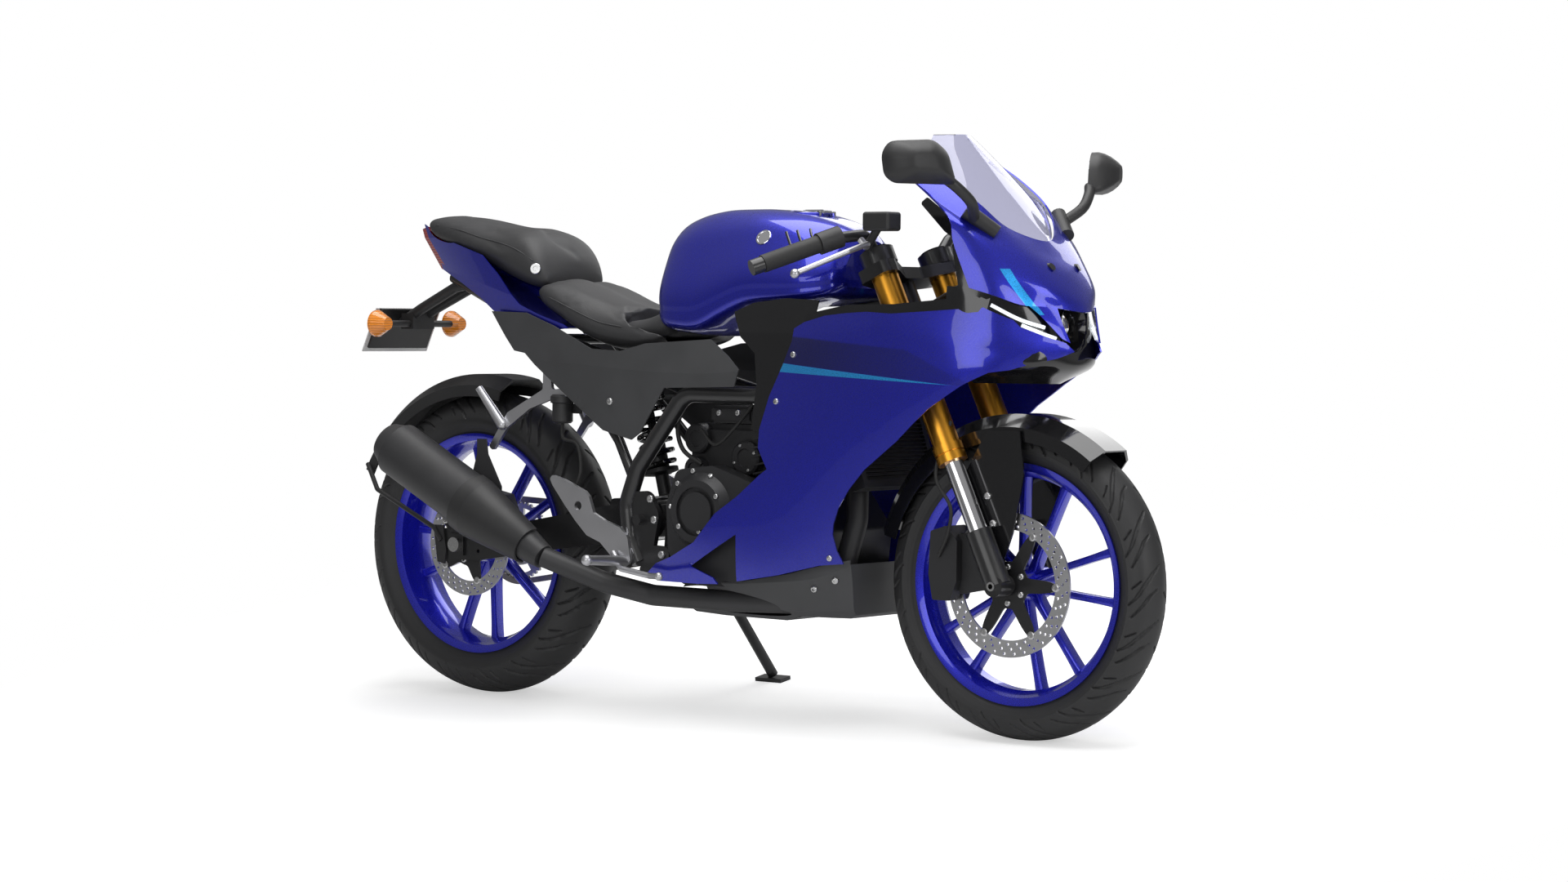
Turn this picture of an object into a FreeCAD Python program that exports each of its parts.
import FreeCAD, Part
import math
import os
from functools import lru_cache
from FreeCAD import Vector as V

# A faired sport bike of the 155 to 200 cc class, parked on its side stand.
# It is drawn upright with the rear axle above the origin, X forward, Y to the
# rider's left and Z up, and leaned over to the left at the very end.

# driving dimensions
WHEELBASE = 1335.0
OVERALL_WIDTH = 725.0
SCREEN_HEIGHT = 1140.0
PARK_LEAN_DEG = 9.0
RAKE_DEG = 25.0

# clearances and walls shared by all pieces
FIT = 0.05
SEAT_GAP = 0.3
SIDE_GAP = 5.0
PANEL_WALL = 3.0
OVERRUN = 20.0

# front wheel
FRONT_TYRE_RADIUS = 296.0
FRONT_TYRE_WIDTH = 100.0
RIM_SEAT_RADIUS = 216.0
RIM_LIP_RADIUS = 228.5
RIM_WALL = 5.0
RIM_DROP = 10.0
FRONT_RIM_WIDTH = 82.0
FRONT_HUB_RADIUS = 32.0
FRONT_HUB_WIDTH = 98.0
AXLE_RADIUS = 8.5
AXLE_BORE_RADIUS = 5.0
SPOKE_PAIRS = 5
SPOKE_WIDTH = 17.0
SPOKE_DEPTH = 30.0
SPOKE_HUB_SPREAD = 26.0
SPOKE_RIM_SPREAD = 62.0
FRONT_DISC_RADIUS = 136.0
FRONT_DISC_INNER = 104.0
DISC_THICKNESS = 4.5
FRONT_DISC_Y = 62.0
FRONT_CARRIER_RADIUS = 44.0
CARRIER_ARM_WIDTH = 20.0

# rear wheel
REAR_TYRE_RADIUS = 314.0
REAR_TYRE_WIDTH = 140.0
REAR_RIM_WIDTH = 114.0
REAR_HUB_RADIUS = 40.0
REAR_HUB_WIDTH = 120.0
REAR_DISC_RADIUS = 108.0
REAR_DISC_INNER = 78.0
REAR_DISC_Y = 76.0
REAR_CARRIER_RADIUS = 46.0
CHAIN_PITCH = 12.7
CHAIN_Y = 84.0
CHAIN_WIDTH = 15.0
CHAIN_PLATE = 1.6
CHAIN_PLATE_HEIGHT = 11.5
ROLLER_RADIUS = 4.2
REAR_TEETH = 43
FRONT_TEETH = 14
SPROCKET_THICKNESS = 6.0

# fork and steering
FORK_OFFSET = 36.0
FORK_HALF_SPREAD = 97.0
FORK_TUBE_RADIUS = 26.0
FORK_COLLAR_RADIUS = 29.0
FORK_CHROME_RADIUS = 18.5
FORK_BOTTOM_RADIUS = 25.0
FORK_BOTTOM_TOP = 110.0
FORK_CHROME_TOP = 250.0
FORK_COLLAR_HEIGHT = 34.0
FORK_TOP = 690.0
STEM_RADIUS = 14.0
STEM_BORE_RADIUS = 8.0
HEAD_TUBE_RADIUS = 27.0
HEAD_LOW = 470.0
HEAD_HIGH = 630.0
YOKE_THICKNESS = 24.0
YOKE_GAP = 1.5
YOKE_EAR_RADIUS = 35.0

# engine
ENGINE_HALF_WIDTH = 115.0
COVER_OUTER_Y = 170.0
CLUTCH_COVER_RADIUS = 76.0
CLUTCH_RING_DEPTH = 14.0
GENERATOR_COVER_RADIUS = 70.0
GENERATOR_OUTER_Y = 150.0
BOLT_BOSS_RADIUS = 12.0
RADIATOR_DEPTH = 32.0
RADIATOR_HALF_WIDTH = 125.0
RADIATOR_HEIGHT = 190.0
RADIATOR_TANK = 14.0
RADIATOR_FINS = 22
FIN_THICKNESS = 1.5

# exhaust
PIPE_RADIUS = 21.0
SILENCER_RADIUS = 57.0
SILENCER_Y = 190.0
SILENCER_WALL = 4.0
OUTLET_RADIUS = 20.0
SHIELD_WALL = 4.0

# frame tubes
SPAR_RADIUS = 17.0
RAIL_RADIUS = 13.0
CROSS_TUBE_RADIUS = 12.0
PIVOT_RADIUS = 10.0
PIVOT_BOSS_RADIUS = 24.0
ENGINE_BOLT_RADIUS = 6.0

# swingarm
SWINGARM_THICKNESS = 28.0
SWINGARM_OUTER_Y = 113.0
ADJUSTER_LENGTH = 40.0
ADJUSTER_HEIGHT = 44.0
ADJUSTER_THICKNESS = 6.0
SPOOL_HOLE_RADIUS = 4.0

# rear guard over the tyre
REAR_GUARD_GAP = 34.0
REAR_GUARD_WALL = 4.0
REAR_GUARD_HALF_WIDTH = 76.0
REAR_GUARD_DROP = 42.0

# front guard
FRONT_GUARD_GAP = 20.0
FRONT_GUARD_WALL = 3.5
FRONT_GUARD_HALF_WIDTH = 66.0
FRONT_GUARD_DROP = 46.0

# bars and controls
BAR_RADIUS = 11.0
BAR_CLAMP_RADIUS = 34.0
BAR_CLAMP_HEIGHT = 30.0
GRIP_RADIUS = 17.0
GRIP_LENGTH = 118.0
BAR_END_RADIUS = 15.0
BAR_END_LENGTH = 24.0
LEVER_THICKNESS = 8.0
LEVER_WIDTH = 14.0
LEVER_BALL_RADIUS = 9.0
CONTROL_RADIUS = 21.0
CONTROL_LENGTH = 46.0
RESERVOIR_LENGTH = 62.0
RESERVOIR_WIDTH = 44.0
RESERVOIR_HEIGHT = 36.0
RESERVOIR_FILLET = 6.0

# tank cap
CAP_RADIUS = 36.0
CAP_RING_RADIUS = 50.0
CAP_THICKNESS = 8.0
CAP_HINGE_RADIUS = 5.0
CAP_HINGE_LENGTH = 26.0
CAP_PIN_RADIUS = 2.5

# mirrors
MIRROR_STALK_RADIUS = 9.0
MIRROR_BASE_WIDTH = 26.0

# lamps and tail
PROJECTOR_RADIUS = 27.0
PROJECTOR_LENGTH = 60.0
INDICATOR_RADIUS = 28.0
INDICATOR_DEPTH = 34.0
INDICATOR_STALK_RADIUS = 7.0
PLATE_WIDTH = 200.0
PLATE_HEIGHT = 100.0
PLATE_THICKNESS = 2.0
PLATE_BOLT_SPACING = 140.0
PLATE_BOLT_RADIUS = 3.2

# foot controls
PEG_RADIUS = 11.0
BRACKET_THICKNESS = 8.0
BRACKET_Y = 162.0
PEDAL_RADIUS = 6.0

# side stand
STAND_RADIUS = 12.0
STAND_PIVOT_RADIUS = 7.0
STAND_LUG_RADIUS = 19.0
STAND_LUG_THICKNESS = 22.0
STAND_FOOT_LENGTH = 66.0
STAND_FOOT_WIDTH = 34.0
STAND_FOOT_THICKNESS = 8.0

# screen
SCREEN_WALL = 3.0

FRONT_AXLE_X = WHEELBASE
RIGHT = -1.0
LEFT = 1.0


def at(share):
    """A place in space from shares of wheelbase, overall width and screen height."""
    return V(share[0] * WHEELBASE, share[1] * OVERALL_WIDTH, share[2] * SCREEN_HEIGHT)


def flat(share, y):
    """A place in the side view from shares of wheelbase and screen height."""
    return V(share[0] * WHEELBASE, y, share[1] * SCREEN_HEIGHT)


def box(low, high):
    """A block between two opposite corners."""
    size = high - low
    return Part.makeBox(size.x, size.y, size.z, low)


def rod(start, end, radius):
    """A round bar between two points."""
    axis = end - start
    return Part.makeCylinder(radius, axis.Length, start, axis)


def cone(start, end, start_radius, end_radius):
    """A tapering round bar between two points."""
    axis = end - start
    return Part.makeCone(start_radius, end_radius, axis.Length, start, axis)


def ball(centre, radius):
    """A ball about a point."""
    return Part.makeSphere(radius, centre)


def across(share, y_low, y_high, radius):
    """A round bar across the machine at a place of the side view."""
    return rod(flat(share, y_low), flat(share, y_high), radius)


def joined(shapes):
    """One solid from pieces that meet."""
    shapes = list(shapes)
    result = shapes[0].fuse(shapes[1:]) if len(shapes) > 1 else shapes[0]
    plain = result.removeSplitter()
    return plain if plain.isValid() else result


def kept_apart(shapes):
    """Several solids of one node that do not meet."""
    solids = []
    for shape in shapes:
        solids.extend(shape.Solids)
    return Part.makeCompound(solids)


def mirrored(shape):
    """The same piece on the other side of the machine."""
    return shape.mirror(V(0, 0, 0), V(0, 1, 0))


def both_sides(shape):
    """A right-hand piece and its left-hand twin."""
    return kept_apart([shape, mirrored(shape)])


def spline(points):
    """A smooth curve through points."""
    curve = Part.BSplineCurve()
    curve.interpolate(points)
    return curve.toShape()


def closed_spline(points):
    """A smooth closed curve through points."""
    curve = Part.BSplineCurve()
    curve.interpolate(points, PeriodicFlag=True)
    return Part.Wire(curve.toShape())


def polygon(points):
    """A closed outline with straight sides."""
    return Part.makePolygon(points + [points[0]])


def rounded(points, radius):
    """A closed outline with every corner rounded by the same arc."""
    edges = []
    count = len(points)
    ends = []
    for i in range(count):
        before = (points[i - 1] - points[i])
        after = (points[(i + 1) % count] - points[i])
        half = before.getAngle(after) / 2
        reach = min(radius / math.tan(half), before.Length * 0.45, after.Length * 0.45)
        start = points[i] + before.normalize() * reach
        end = points[i] + after.normalize() * reach
        bisector = (before + after).normalize()
        depth = reach / math.cos(half) - reach * math.tan(half)
        ends.append((start, points[i] + bisector * depth, end))
    for i in range(count):
        start, middle, end = ends[i]
        edges.append(Part.Arc(start, middle, end).toShape())
        follow = ends[(i + 1) % count][0]
        if (follow - end).Length > FIT * FIT:
            edges.append(Part.makeLine(end, follow))
    return Part.Wire(edges)


def slab(outline, y_low, y_high):
    """A closed side-view outline, given at any Y, thickened across the machine."""
    face = Part.Face(outline)
    face.translate(V(0, y_low - outline.BoundBox.Center.y, 0))
    return face.extrude(V(0, y_high - y_low, 0))


def shape_of(shares, y_low, y_high):
    """A slab with straight sides from an outline in shares."""
    return slab(polygon([flat(share, 0) for share in shares]), y_low, y_high)


def soft_shape(shares, y_low, y_high, radius):
    """A slab with rounded corners from an outline in shares."""
    return slab(rounded([flat(share, 0) for share in shares], radius), y_low, y_high)


def route(points, bend):
    """Straight runs joined by tangent arcs."""
    edges = []
    last = points[0]
    for i in range(1, len(points) - 1):
        before = points[i - 1] - points[i]
        after = points[i + 1] - points[i]
        half = before.getAngle(after) / 2
        reach = min(bend / math.tan(half), before.Length * 0.45, after.Length * 0.45)
        start = points[i] + before.normalize() * reach
        end = points[i] + after.normalize() * reach
        bisector = (before + after).normalize()
        depth = reach / math.cos(half) - reach * math.tan(half)
        edges.append(Part.makeLine(last, start))
        edges.append(Part.Arc(start, points[i] + bisector * depth, end).toShape())
        last = end
    edges.append(Part.makeLine(last, points[-1]))
    return Part.Wire(edges)


def tube(points, radius, bend):
    """A bent round bar through points."""
    path = route(points, bend)
    start = points[0]
    ring = Part.Wire(Part.makeCircle(radius, start, points[1] - start))
    return path.makePipeShell([ring], True, False)


def turned(profile, centre):
    """A solid turned about the wheel's axle from (radius, y) pairs."""
    points = [centre + V(0, y, radius) for radius, y in profile]
    face = Part.Face(polygon(points))
    return face.revolve(centre, V(0, 1, 0), 360)


def lofted(outlines, ruled=False):
    """A solid through closed outlines."""
    return Part.makeLoft(outlines, True, ruled)


def inward(points, i):
    """The way towards the middle of the machine, square to a panel's plan curve."""
    if abs(points[i].y) < FIT:
        return V(-1, 0, 0)
    before = points[max(i - 1, 0)]
    after = points[min(i + 1, len(points) - 1)]
    along = after - before
    return V(-along.y, along.x, 0).normalize()


def skin(rails, wall):
    """A right-hand panel through curves that run from rear to front."""
    outlines = []
    ends = []
    for rail in rails:
        outer = [at(share) for share in rail]
        inner = [point + inward(outer, i) * wall for i, point in enumerate(outer)]
        outside = spline(outer)
        inside = spline(list(reversed(inner)))
        ends.append(Part.makeRuledSurface(outside, spline(inner)))
        outlines.append(Part.Wire([
            outside,
            Part.makeLine(outer[-1], inner[-1]),
            inside,
            Part.makeLine(inner[0], outer[0]),
        ]))
    sides = Part.makeLoft(outlines, False, True)
    shell = Part.makeShell(sides.Faces + [ends[0], ends[-1]])
    shell.sewShape()
    return Part.makeSolid(shell)


def filled(rails):
    """The space between a right-hand panel's curves and the middle plane."""
    outlines = []
    for rail in rails:
        outer = [at(share) for share in rail]
        edges = [spline(outer)]
        front = V(outer[-1].x, 0, outer[-1].z)
        rear = V(outer[0].x, 0, outer[0].z)
        if (front - outer[-1]).Length > FIT:
            edges.append(Part.makeLine(outer[-1], front))
        edges.append(Part.makeLine(front, rear))
        edges.append(Part.makeLine(rear, outer[0]))
        outlines.append(Part.Wire(edges))
    return lofted(outlines, True)


# wheels


FRONT_AXLE = V(FRONT_AXLE_X, 0, FRONT_TYRE_RADIUS)
REAR_AXLE = V(0, 0, REAR_TYRE_RADIUS)


def tyre(centre, tyre_radius, tyre_width, rim_width):
    """A tyre with a round crown, seated on the rim between its lips."""
    bead = rim_width / 2 - RIM_WALL
    half = tyre_width / 2
    wall_radius = (RIM_LIP_RADIUS + tyre_radius - half * CROWN_SHARE) / 2
    side = [
        V(centre.x, bead, centre.z + RIM_LIP_RADIUS),
        V(centre.x, half, centre.z + wall_radius + half * SIDEWALL_SHARE),
        V(centre.x, half * CROWN_EDGE_SHARE, centre.z + tyre_radius - half * CROWN_DROP_SHARE),
        V(centre.x, 0, centre.z + tyre_radius),
    ]
    other = [V(p.x, -p.y, p.z) for p in reversed(side[:-1])]
    seat_right = V(centre.x, -bead, centre.z + RIM_SEAT_RADIUS)
    seat_left = V(centre.x, bead, centre.z + RIM_SEAT_RADIUS)
    outline = Part.Wire([
        Part.makeLine(seat_left, side[0]),
        spline(side + other),
        Part.makeLine(other[-1], seat_right),
        Part.makeLine(seat_right, seat_left),
    ])
    return Part.Face(outline).revolve(centre, V(0, 1, 0), 360)


CROWN_SHARE = 0.55
SIDEWALL_SHARE = 0.1
CROWN_EDGE_SHARE = 0.72
CROWN_DROP_SHARE = 0.27


def rim_barrel(centre, rim_width):
    """The rim's ring: two lips, two bead seats and the drop between them."""
    half = rim_width / 2
    seat = half - RIM_WALL
    drop = seat * DROP_WIDTH_SHARE
    shoulder = seat * SHOULDER_SHARE
    low = RIM_SEAT_RADIUS - RIM_DROP
    profile = [
        (RIM_LIP_RADIUS, half), (RIM_LIP_RADIUS, seat), (RIM_SEAT_RADIUS, seat),
        (RIM_SEAT_RADIUS, shoulder), (low, drop), (low, -drop), (RIM_SEAT_RADIUS, -shoulder),
        (RIM_SEAT_RADIUS, -seat), (RIM_LIP_RADIUS, -seat), (RIM_LIP_RADIUS, -half),
        (RIM_SEAT_RADIUS - RIM_WALL, -half), (RIM_SEAT_RADIUS - RIM_WALL, -shoulder),
        (low - RIM_WALL, -drop), (low - RIM_WALL, drop),
        (RIM_SEAT_RADIUS - RIM_WALL, shoulder), (RIM_SEAT_RADIUS - RIM_WALL, half),
    ]
    return turned(profile, centre)


DROP_WIDTH_SHARE = 0.4
SHOULDER_SHARE = 0.7


def spoke(centre, hub_radius, angle, side):
    """One of a pair of spokes, from the hub out to the rim."""
    reach = RIM_SEAT_RADIUS - RIM_DROP - RIM_WALL
    outlines = []
    for radius, spread, width, depth in (
        (hub_radius * 0.8, SPOKE_HUB_SPREAD / 2, SPOKE_WIDTH, SPOKE_DEPTH),
        (reach + RIM_WALL / 2, SPOKE_RIM_SPREAD / 2, SPOKE_WIDTH, SPOKE_DEPTH * 0.9),
    ):
        middle = centre + V(side * spread, 0, radius)
        outlines.append(rounded([
            middle + V(-width / 2, -depth / 2, 0), middle + V(width / 2, -depth / 2, 0),
            middle + V(width / 2, depth / 2, 0), middle + V(-width / 2, depth / 2, 0),
        ], SPOKE_WIDTH / 4))
    arm = lofted(outlines)
    arm.rotate(centre, V(0, 1, 0), angle)
    return arm


def rim(centre, rim_width, hub_radius, hub_width):
    """A cast wheel with five pairs of spokes, bored for its axle."""
    half = hub_width / 2
    pieces = [rim_barrel(centre, rim_width),
              rod(centre - V(0, half, 0), centre + V(0, half, 0), hub_radius)]
    for i in range(SPOKE_PAIRS):
        for side in (RIGHT, LEFT):
            pieces.append(spoke(centre, hub_radius, 360.0 * i / SPOKE_PAIRS, side))
    reach = half + OVERRUN
    bore = rod(centre - V(0, reach, 0), centre + V(0, reach, 0), AXLE_RADIUS + FIT)
    return joined(pieces).cut(bore)


def disc(centre, y, outer, inner, carrier_radius, hub_radius, hub_half):
    """A brake disc on a five-armed carrier that is bolted to the hub's side."""
    sense = math.copysign(1, y)
    face = centre + V(0, y - DISC_THICKNESS / 2, 0)
    along = V(0, 1, 0)
    ring = Part.makeCylinder(outer, DISC_THICKNESS, face, along).cut(
        Part.makeCylinder(inner, DISC_THICKNESS, face, along))
    flange = [centre + V(0, min(abs(y), hub_half) * sense, 0), centre + V(0, y, 0)]
    pieces = [ring, rod(flange[0], flange[1], carrier_radius)]
    for i in range(SPOKE_PAIRS):
        arm = Part.makeBox(CARRIER_ARM_WIDTH, DISC_THICKNESS, inner + CARRIER_ARM_WIDTH / 2,
                           face + V(-CARRIER_ARM_WIDTH / 2, 0, 0))
        arm.rotate(centre, along, 360.0 * (i + 0.5) / SPOKE_PAIRS)
        pieces.append(arm)
    hole = rod(flange[0] - V(0, sense * OVERRUN, 0), flange[1] + V(0, sense * OVERRUN, 0),
               hub_radius)
    return joined(pieces).cut(hole)


def pitch_radius(teeth):
    """Where a roller chain's pins lie on a sprocket."""
    return CHAIN_PITCH / 2 / math.sin(math.pi / teeth)


def sprocket(centre, y, teeth, thickness):
    """A toothed disc whose tips run just inside the chain's rollers."""
    tip = pitch_radius(teeth) - ROLLER_RADIUS - TOOTH_GAP
    root = tip - ROLLER_RADIUS
    points = []
    for i in range(teeth):
        for share, radius in ((0.15, root), (0.35, tip), (0.65, tip), (0.85, root)):
            angle = 2 * math.pi * (i + share) / teeth
            points.append(centre + V(radius * math.sin(angle), 0, radius * math.cos(angle)))
    face = Part.Face(polygon(points))
    face.translate(V(0, y - thickness / 2, 0))
    return face.extrude(V(0, thickness, 0))


TOOTH_GAP = 1.0
SPROCKET_RIM = 18.0


@lru_cache
def rear_sprocket():
    """The rear sprocket with five arms, bolted to the hub's left side."""
    plate = sprocket(REAR_AXLE, CHAIN_Y, REAR_TEETH, SPROCKET_THICKNESS)
    low = REAR_AXLE + V(0, CHAIN_Y - SPROCKET_THICKNESS, 0)
    reach = V(0, 2 * SPROCKET_THICKNESS, 0)
    window_outer = pitch_radius(REAR_TEETH) - SPROCKET_RIM
    ring = rod(low, low + reach, window_outer).cut(
        rod(low, low + reach, REAR_CARRIER_RADIUS + SPROCKET_THICKNESS))
    for i in range(SPOKE_PAIRS):
        arm = Part.makeBox(CARRIER_ARM_WIDTH, 2 * SPROCKET_THICKNESS, window_outer + OVERRUN,
                           low + V(-CARRIER_ARM_WIDTH / 2, 0, 0))
        arm.rotate(REAR_AXLE, V(0, 1, 0), 360.0 * i / SPOKE_PAIRS)
        ring = ring.cut(arm)
    flange = rod(REAR_AXLE + V(0, REAR_HUB_WIDTH / 2, 0),
                 REAR_AXLE + V(0, CHAIN_Y, 0), REAR_CARRIER_RADIUS)
    bore = rod(REAR_AXLE, REAR_AXLE + V(0, CHAIN_Y + OVERRUN, 0), AXLE_RADIUS + SIDE_GAP)
    return joined([plate.cut(ring), flange]).cut(bore)


FRONT_SPROCKET_SHARE = (0.434, 0.309)


def belt(offset):
    """The closed outline round both sprockets, offset from the chain's pins."""
    a = REAR_AXLE
    b = flat(FRONT_SPROCKET_SHARE, 0)
    ra = pitch_radius(REAR_TEETH) + offset
    rb = pitch_radius(FRONT_TEETH) + offset
    span = b - a
    tilt = math.atan2(span.z, span.x)
    lean = math.acos((ra - rb) / span.Length)
    ends = []
    for sign in (1, -1):
        angle = tilt + sign * lean
        ends.append(V(math.cos(angle), 0, math.sin(angle)))
    up, down = ends
    back = V(-math.cos(tilt), 0, -math.sin(tilt))
    return [
        Part.makeLine(a + up * ra, b + up * rb),
        Part.Arc(b + up * rb, b - back * rb, b + down * rb).toShape(),
        Part.makeLine(b + down * rb, a + down * ra),
        Part.Arc(a + down * ra, a + back * ra, a + up * ra).toShape(),
    ]


def chain_room(margin):
    """The loop of space that the chain needs, with a margin all round."""
    half = CHAIN_PLATE_HEIGHT / 2 + margin
    ring = Part.Face(Part.Wire(belt(half))).cut(Part.Face(Part.Wire(belt(-half))))
    ring.translate(V(0, CHAIN_Y - CHAIN_WIDTH / 2 - margin, 0))
    return ring.extrude(V(0, CHAIN_WIDTH + 2 * margin, 0))


@lru_cache
def chain():
    """The drive chain as one fixed loop of side plates, pins and rollers."""
    half = CHAIN_PLATE_HEIGHT / 2
    outer = Part.Face(Part.Wire(belt(half)))
    band = outer.cut(Part.Face(Part.Wire(belt(-half))))
    pieces = []
    for y in (CHAIN_Y - CHAIN_WIDTH / 2, CHAIN_Y + CHAIN_WIDTH / 2 - CHAIN_PLATE):
        side = band.copy()
        side.translate(V(0, y, 0))
        pieces.append(side.extrude(V(0, CHAIN_PLATE, 0)))
    loop = Part.Wire(belt(0))
    count = int(round(loop.Length / CHAIN_PITCH))
    low = CHAIN_Y - CHAIN_WIDTH / 2
    for point in loop.discretize(Number=count + 1)[:-1]:
        corners = []
        for i in range(6):
            angle = math.pi * i / 3
            corners.append(point + V(math.cos(angle), 0, math.sin(angle)) * ROLLER_RADIUS)
        face = Part.Face(polygon(corners))
        face.translate(V(0, low + CHAIN_PLATE / 2, 0))
        pieces.append(face.extrude(V(0, CHAIN_WIDTH - CHAIN_PLATE, 0)))
    return joined(pieces)


# fork and steering, drawn along the fork leg and then raked


def raked(shape):
    """A piece drawn on an upright fork leg over the origin, put in its place."""
    shape = shape.copy()
    shape.rotate(V(0, 0, 0), V(0, 1, 0), -RAKE_DEG)
    shape.translate(FRONT_AXLE)
    return shape


def raked_point(x, y, z):
    """A place given on the upright fork leg, in the machine's frame."""
    rake = math.radians(RAKE_DEG)
    return FRONT_AXLE + V(x * math.cos(rake) - z * math.sin(rake), y,
                          x * math.sin(rake) + z * math.cos(rake))


def fork_rod(side, low, high, radius):
    """A length of one fork leg."""
    y = side * FORK_HALF_SPREAD
    return rod(V(0, y, low), V(0, y, high), radius)


@lru_cache
def axle_hole():
    """The hole that the front axle passes through, on the upright fork leg."""
    reach = FORK_HALF_SPREAD + FORK_BOTTOM_RADIUS + OVERRUN
    return rod(V(0, -reach, 0), V(0, reach, 0), AXLE_RADIUS)


@lru_cache
def fork_tubes():
    """The two outer tubes, each with a collar at its lower end."""
    legs = []
    for side in (RIGHT, LEFT):
        leg = joined([fork_rod(side, FORK_CHROME_TOP, FORK_TOP, FORK_TUBE_RADIUS),
                      fork_rod(side, FORK_CHROME_TOP, FORK_CHROME_TOP + FORK_COLLAR_HEIGHT,
                               FORK_COLLAR_RADIUS)])
        groove = fork_rod(side, FORK_CHROME_TOP + FORK_COLLAR_HEIGHT * GROOVE_SHARE,
                          FORK_CHROME_TOP + FORK_COLLAR_HEIGHT * GROOVE_SHARE + COLLAR_GROOVE,
                          FORK_COLLAR_RADIUS + OVERRUN)
        core = fork_rod(side, FORK_CHROME_TOP, FORK_TOP, FORK_TUBE_RADIUS)
        legs.append(joined([leg.cut(groove), core]))
    return raked(kept_apart(legs))


GROOVE_SHARE = 0.45
COLLAR_GROOVE = 3.0


@lru_cache
def fork_stanchions():
    """The two bright inner tubes between the outer tubes and the bottoms."""
    return raked(kept_apart([fork_rod(side, FORK_BOTTOM_TOP, FORK_CHROME_TOP, FORK_CHROME_RADIUS)
                             for side in (RIGHT, LEFT)]))


@lru_cache
def fork_bottoms():
    """The two castings that hold the front axle."""
    legs = []
    for side in (RIGHT, LEFT):
        inner = side * (FORK_HALF_SPREAD - FORK_BOTTOM_RADIUS)
        outer = side * (FORK_HALF_SPREAD + FORK_BOTTOM_RADIUS * AXLE_BOSS_SHARE)
        legs.append(joined([
            fork_rod(side, 0, FORK_BOTTOM_TOP, FORK_BOTTOM_RADIUS),
            rod(V(0, inner, 0), V(0, outer, 0), FORK_BOTTOM_RADIUS * AXLE_BOSS_SHARE),
        ]).cut(axle_hole()))
    return raked(kept_apart(legs))


AXLE_BOSS_SHARE = 0.8


@lru_cache
def front_axle():
    """The hollow front axle with its spacers beside the hub."""
    end = FORK_HALF_SPREAD + FORK_BOTTOM_RADIUS + AXLE_STICK_OUT
    inner = FORK_HALF_SPREAD - FORK_BOTTOM_RADIUS
    left = FRONT_HUB_WIDTH / 2 + SPACER_GAP
    right = FRONT_DISC_Y + DISC_THICKNESS / 2 + SPACER_GAP
    pieces = [rod(V(0, -end, 0), V(0, end, 0), AXLE_RADIUS),
              rod(V(0, left, 0), V(0, inner, 0), SPACER_RADIUS),
              rod(V(0, -inner, 0), V(0, -right, 0), SPACER_RADIUS)]
    hole = rod(V(0, -end, 0), V(0, end, 0), AXLE_BORE_RADIUS)
    return raked(joined(pieces).cut(hole))


AXLE_STICK_OUT = 3.0
SPACER_GAP = 1.5
SPACER_RADIUS = 14.0


def yoke_plate(low, high):
    """A plate that clamps both fork legs and carries the stem."""
    back = FORK_OFFSET + STEM_RADIUS * YOKE_BACK_SHARE
    ear = FORK_HALF_SPREAD + YOKE_EAR_RADIUS
    outline = [
        V(-back, -STEM_RADIUS * 2, 0), V(-YOKE_EAR_RADIUS, -ear, 0), V(YOKE_EAR_RADIUS, -ear, 0),
        V(YOKE_EAR_RADIUS, -FORK_HALF_SPREAD, 0), V(0, -STEM_RADIUS * 2, 0),
        V(0, STEM_RADIUS * 2, 0), V(YOKE_EAR_RADIUS, FORK_HALF_SPREAD, 0),
        V(YOKE_EAR_RADIUS, ear, 0), V(-YOKE_EAR_RADIUS, ear, 0), V(-back, STEM_RADIUS * 2, 0),
    ]
    face = Part.Face(rounded(outline, STEM_RADIUS))
    face.translate(V(0, 0, low))
    return face.extrude(V(0, 0, high - low))


YOKE_BACK_SHARE = 1.9


@lru_cache
def yokes():
    """Both yokes on their stem, bored for the fork legs."""
    low = HEAD_LOW - YOKE_GAP
    high = HEAD_HIGH + YOKE_GAP
    stem = rod(V(-FORK_OFFSET, 0, low - YOKE_THICKNESS), V(-FORK_OFFSET, 0, high + YOKE_THICKNESS),
               STEM_RADIUS)
    body = joined([yoke_plate(low - YOKE_THICKNESS, low), yoke_plate(high, high + YOKE_THICKNESS),
                   stem])
    for side in (RIGHT, LEFT):
        body = body.cut(fork_rod(side, FORK_CHROME_TOP, FORK_TOP, FORK_TUBE_RADIUS))
    hole = rod(V(-FORK_OFFSET, 0, low - YOKE_THICKNESS), V(-FORK_OFFSET, 0, high), STEM_BORE_RADIUS)
    return raked(body.cut(hole))


BAR_SHARES = [
    (0.784, -0.134, 0.825), (0.788, -0.193, 0.832), (0.772, -0.287, 0.825),
    (0.706, -0.483, 0.774),
]


def bar_point(distance):
    """A place on the right grip's axis, measured in from the bar's outer end."""
    outer = at(BAR_SHARES[3])
    inner = at(BAR_SHARES[2])
    return outer + (inner - outer).normalize() * distance


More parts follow.
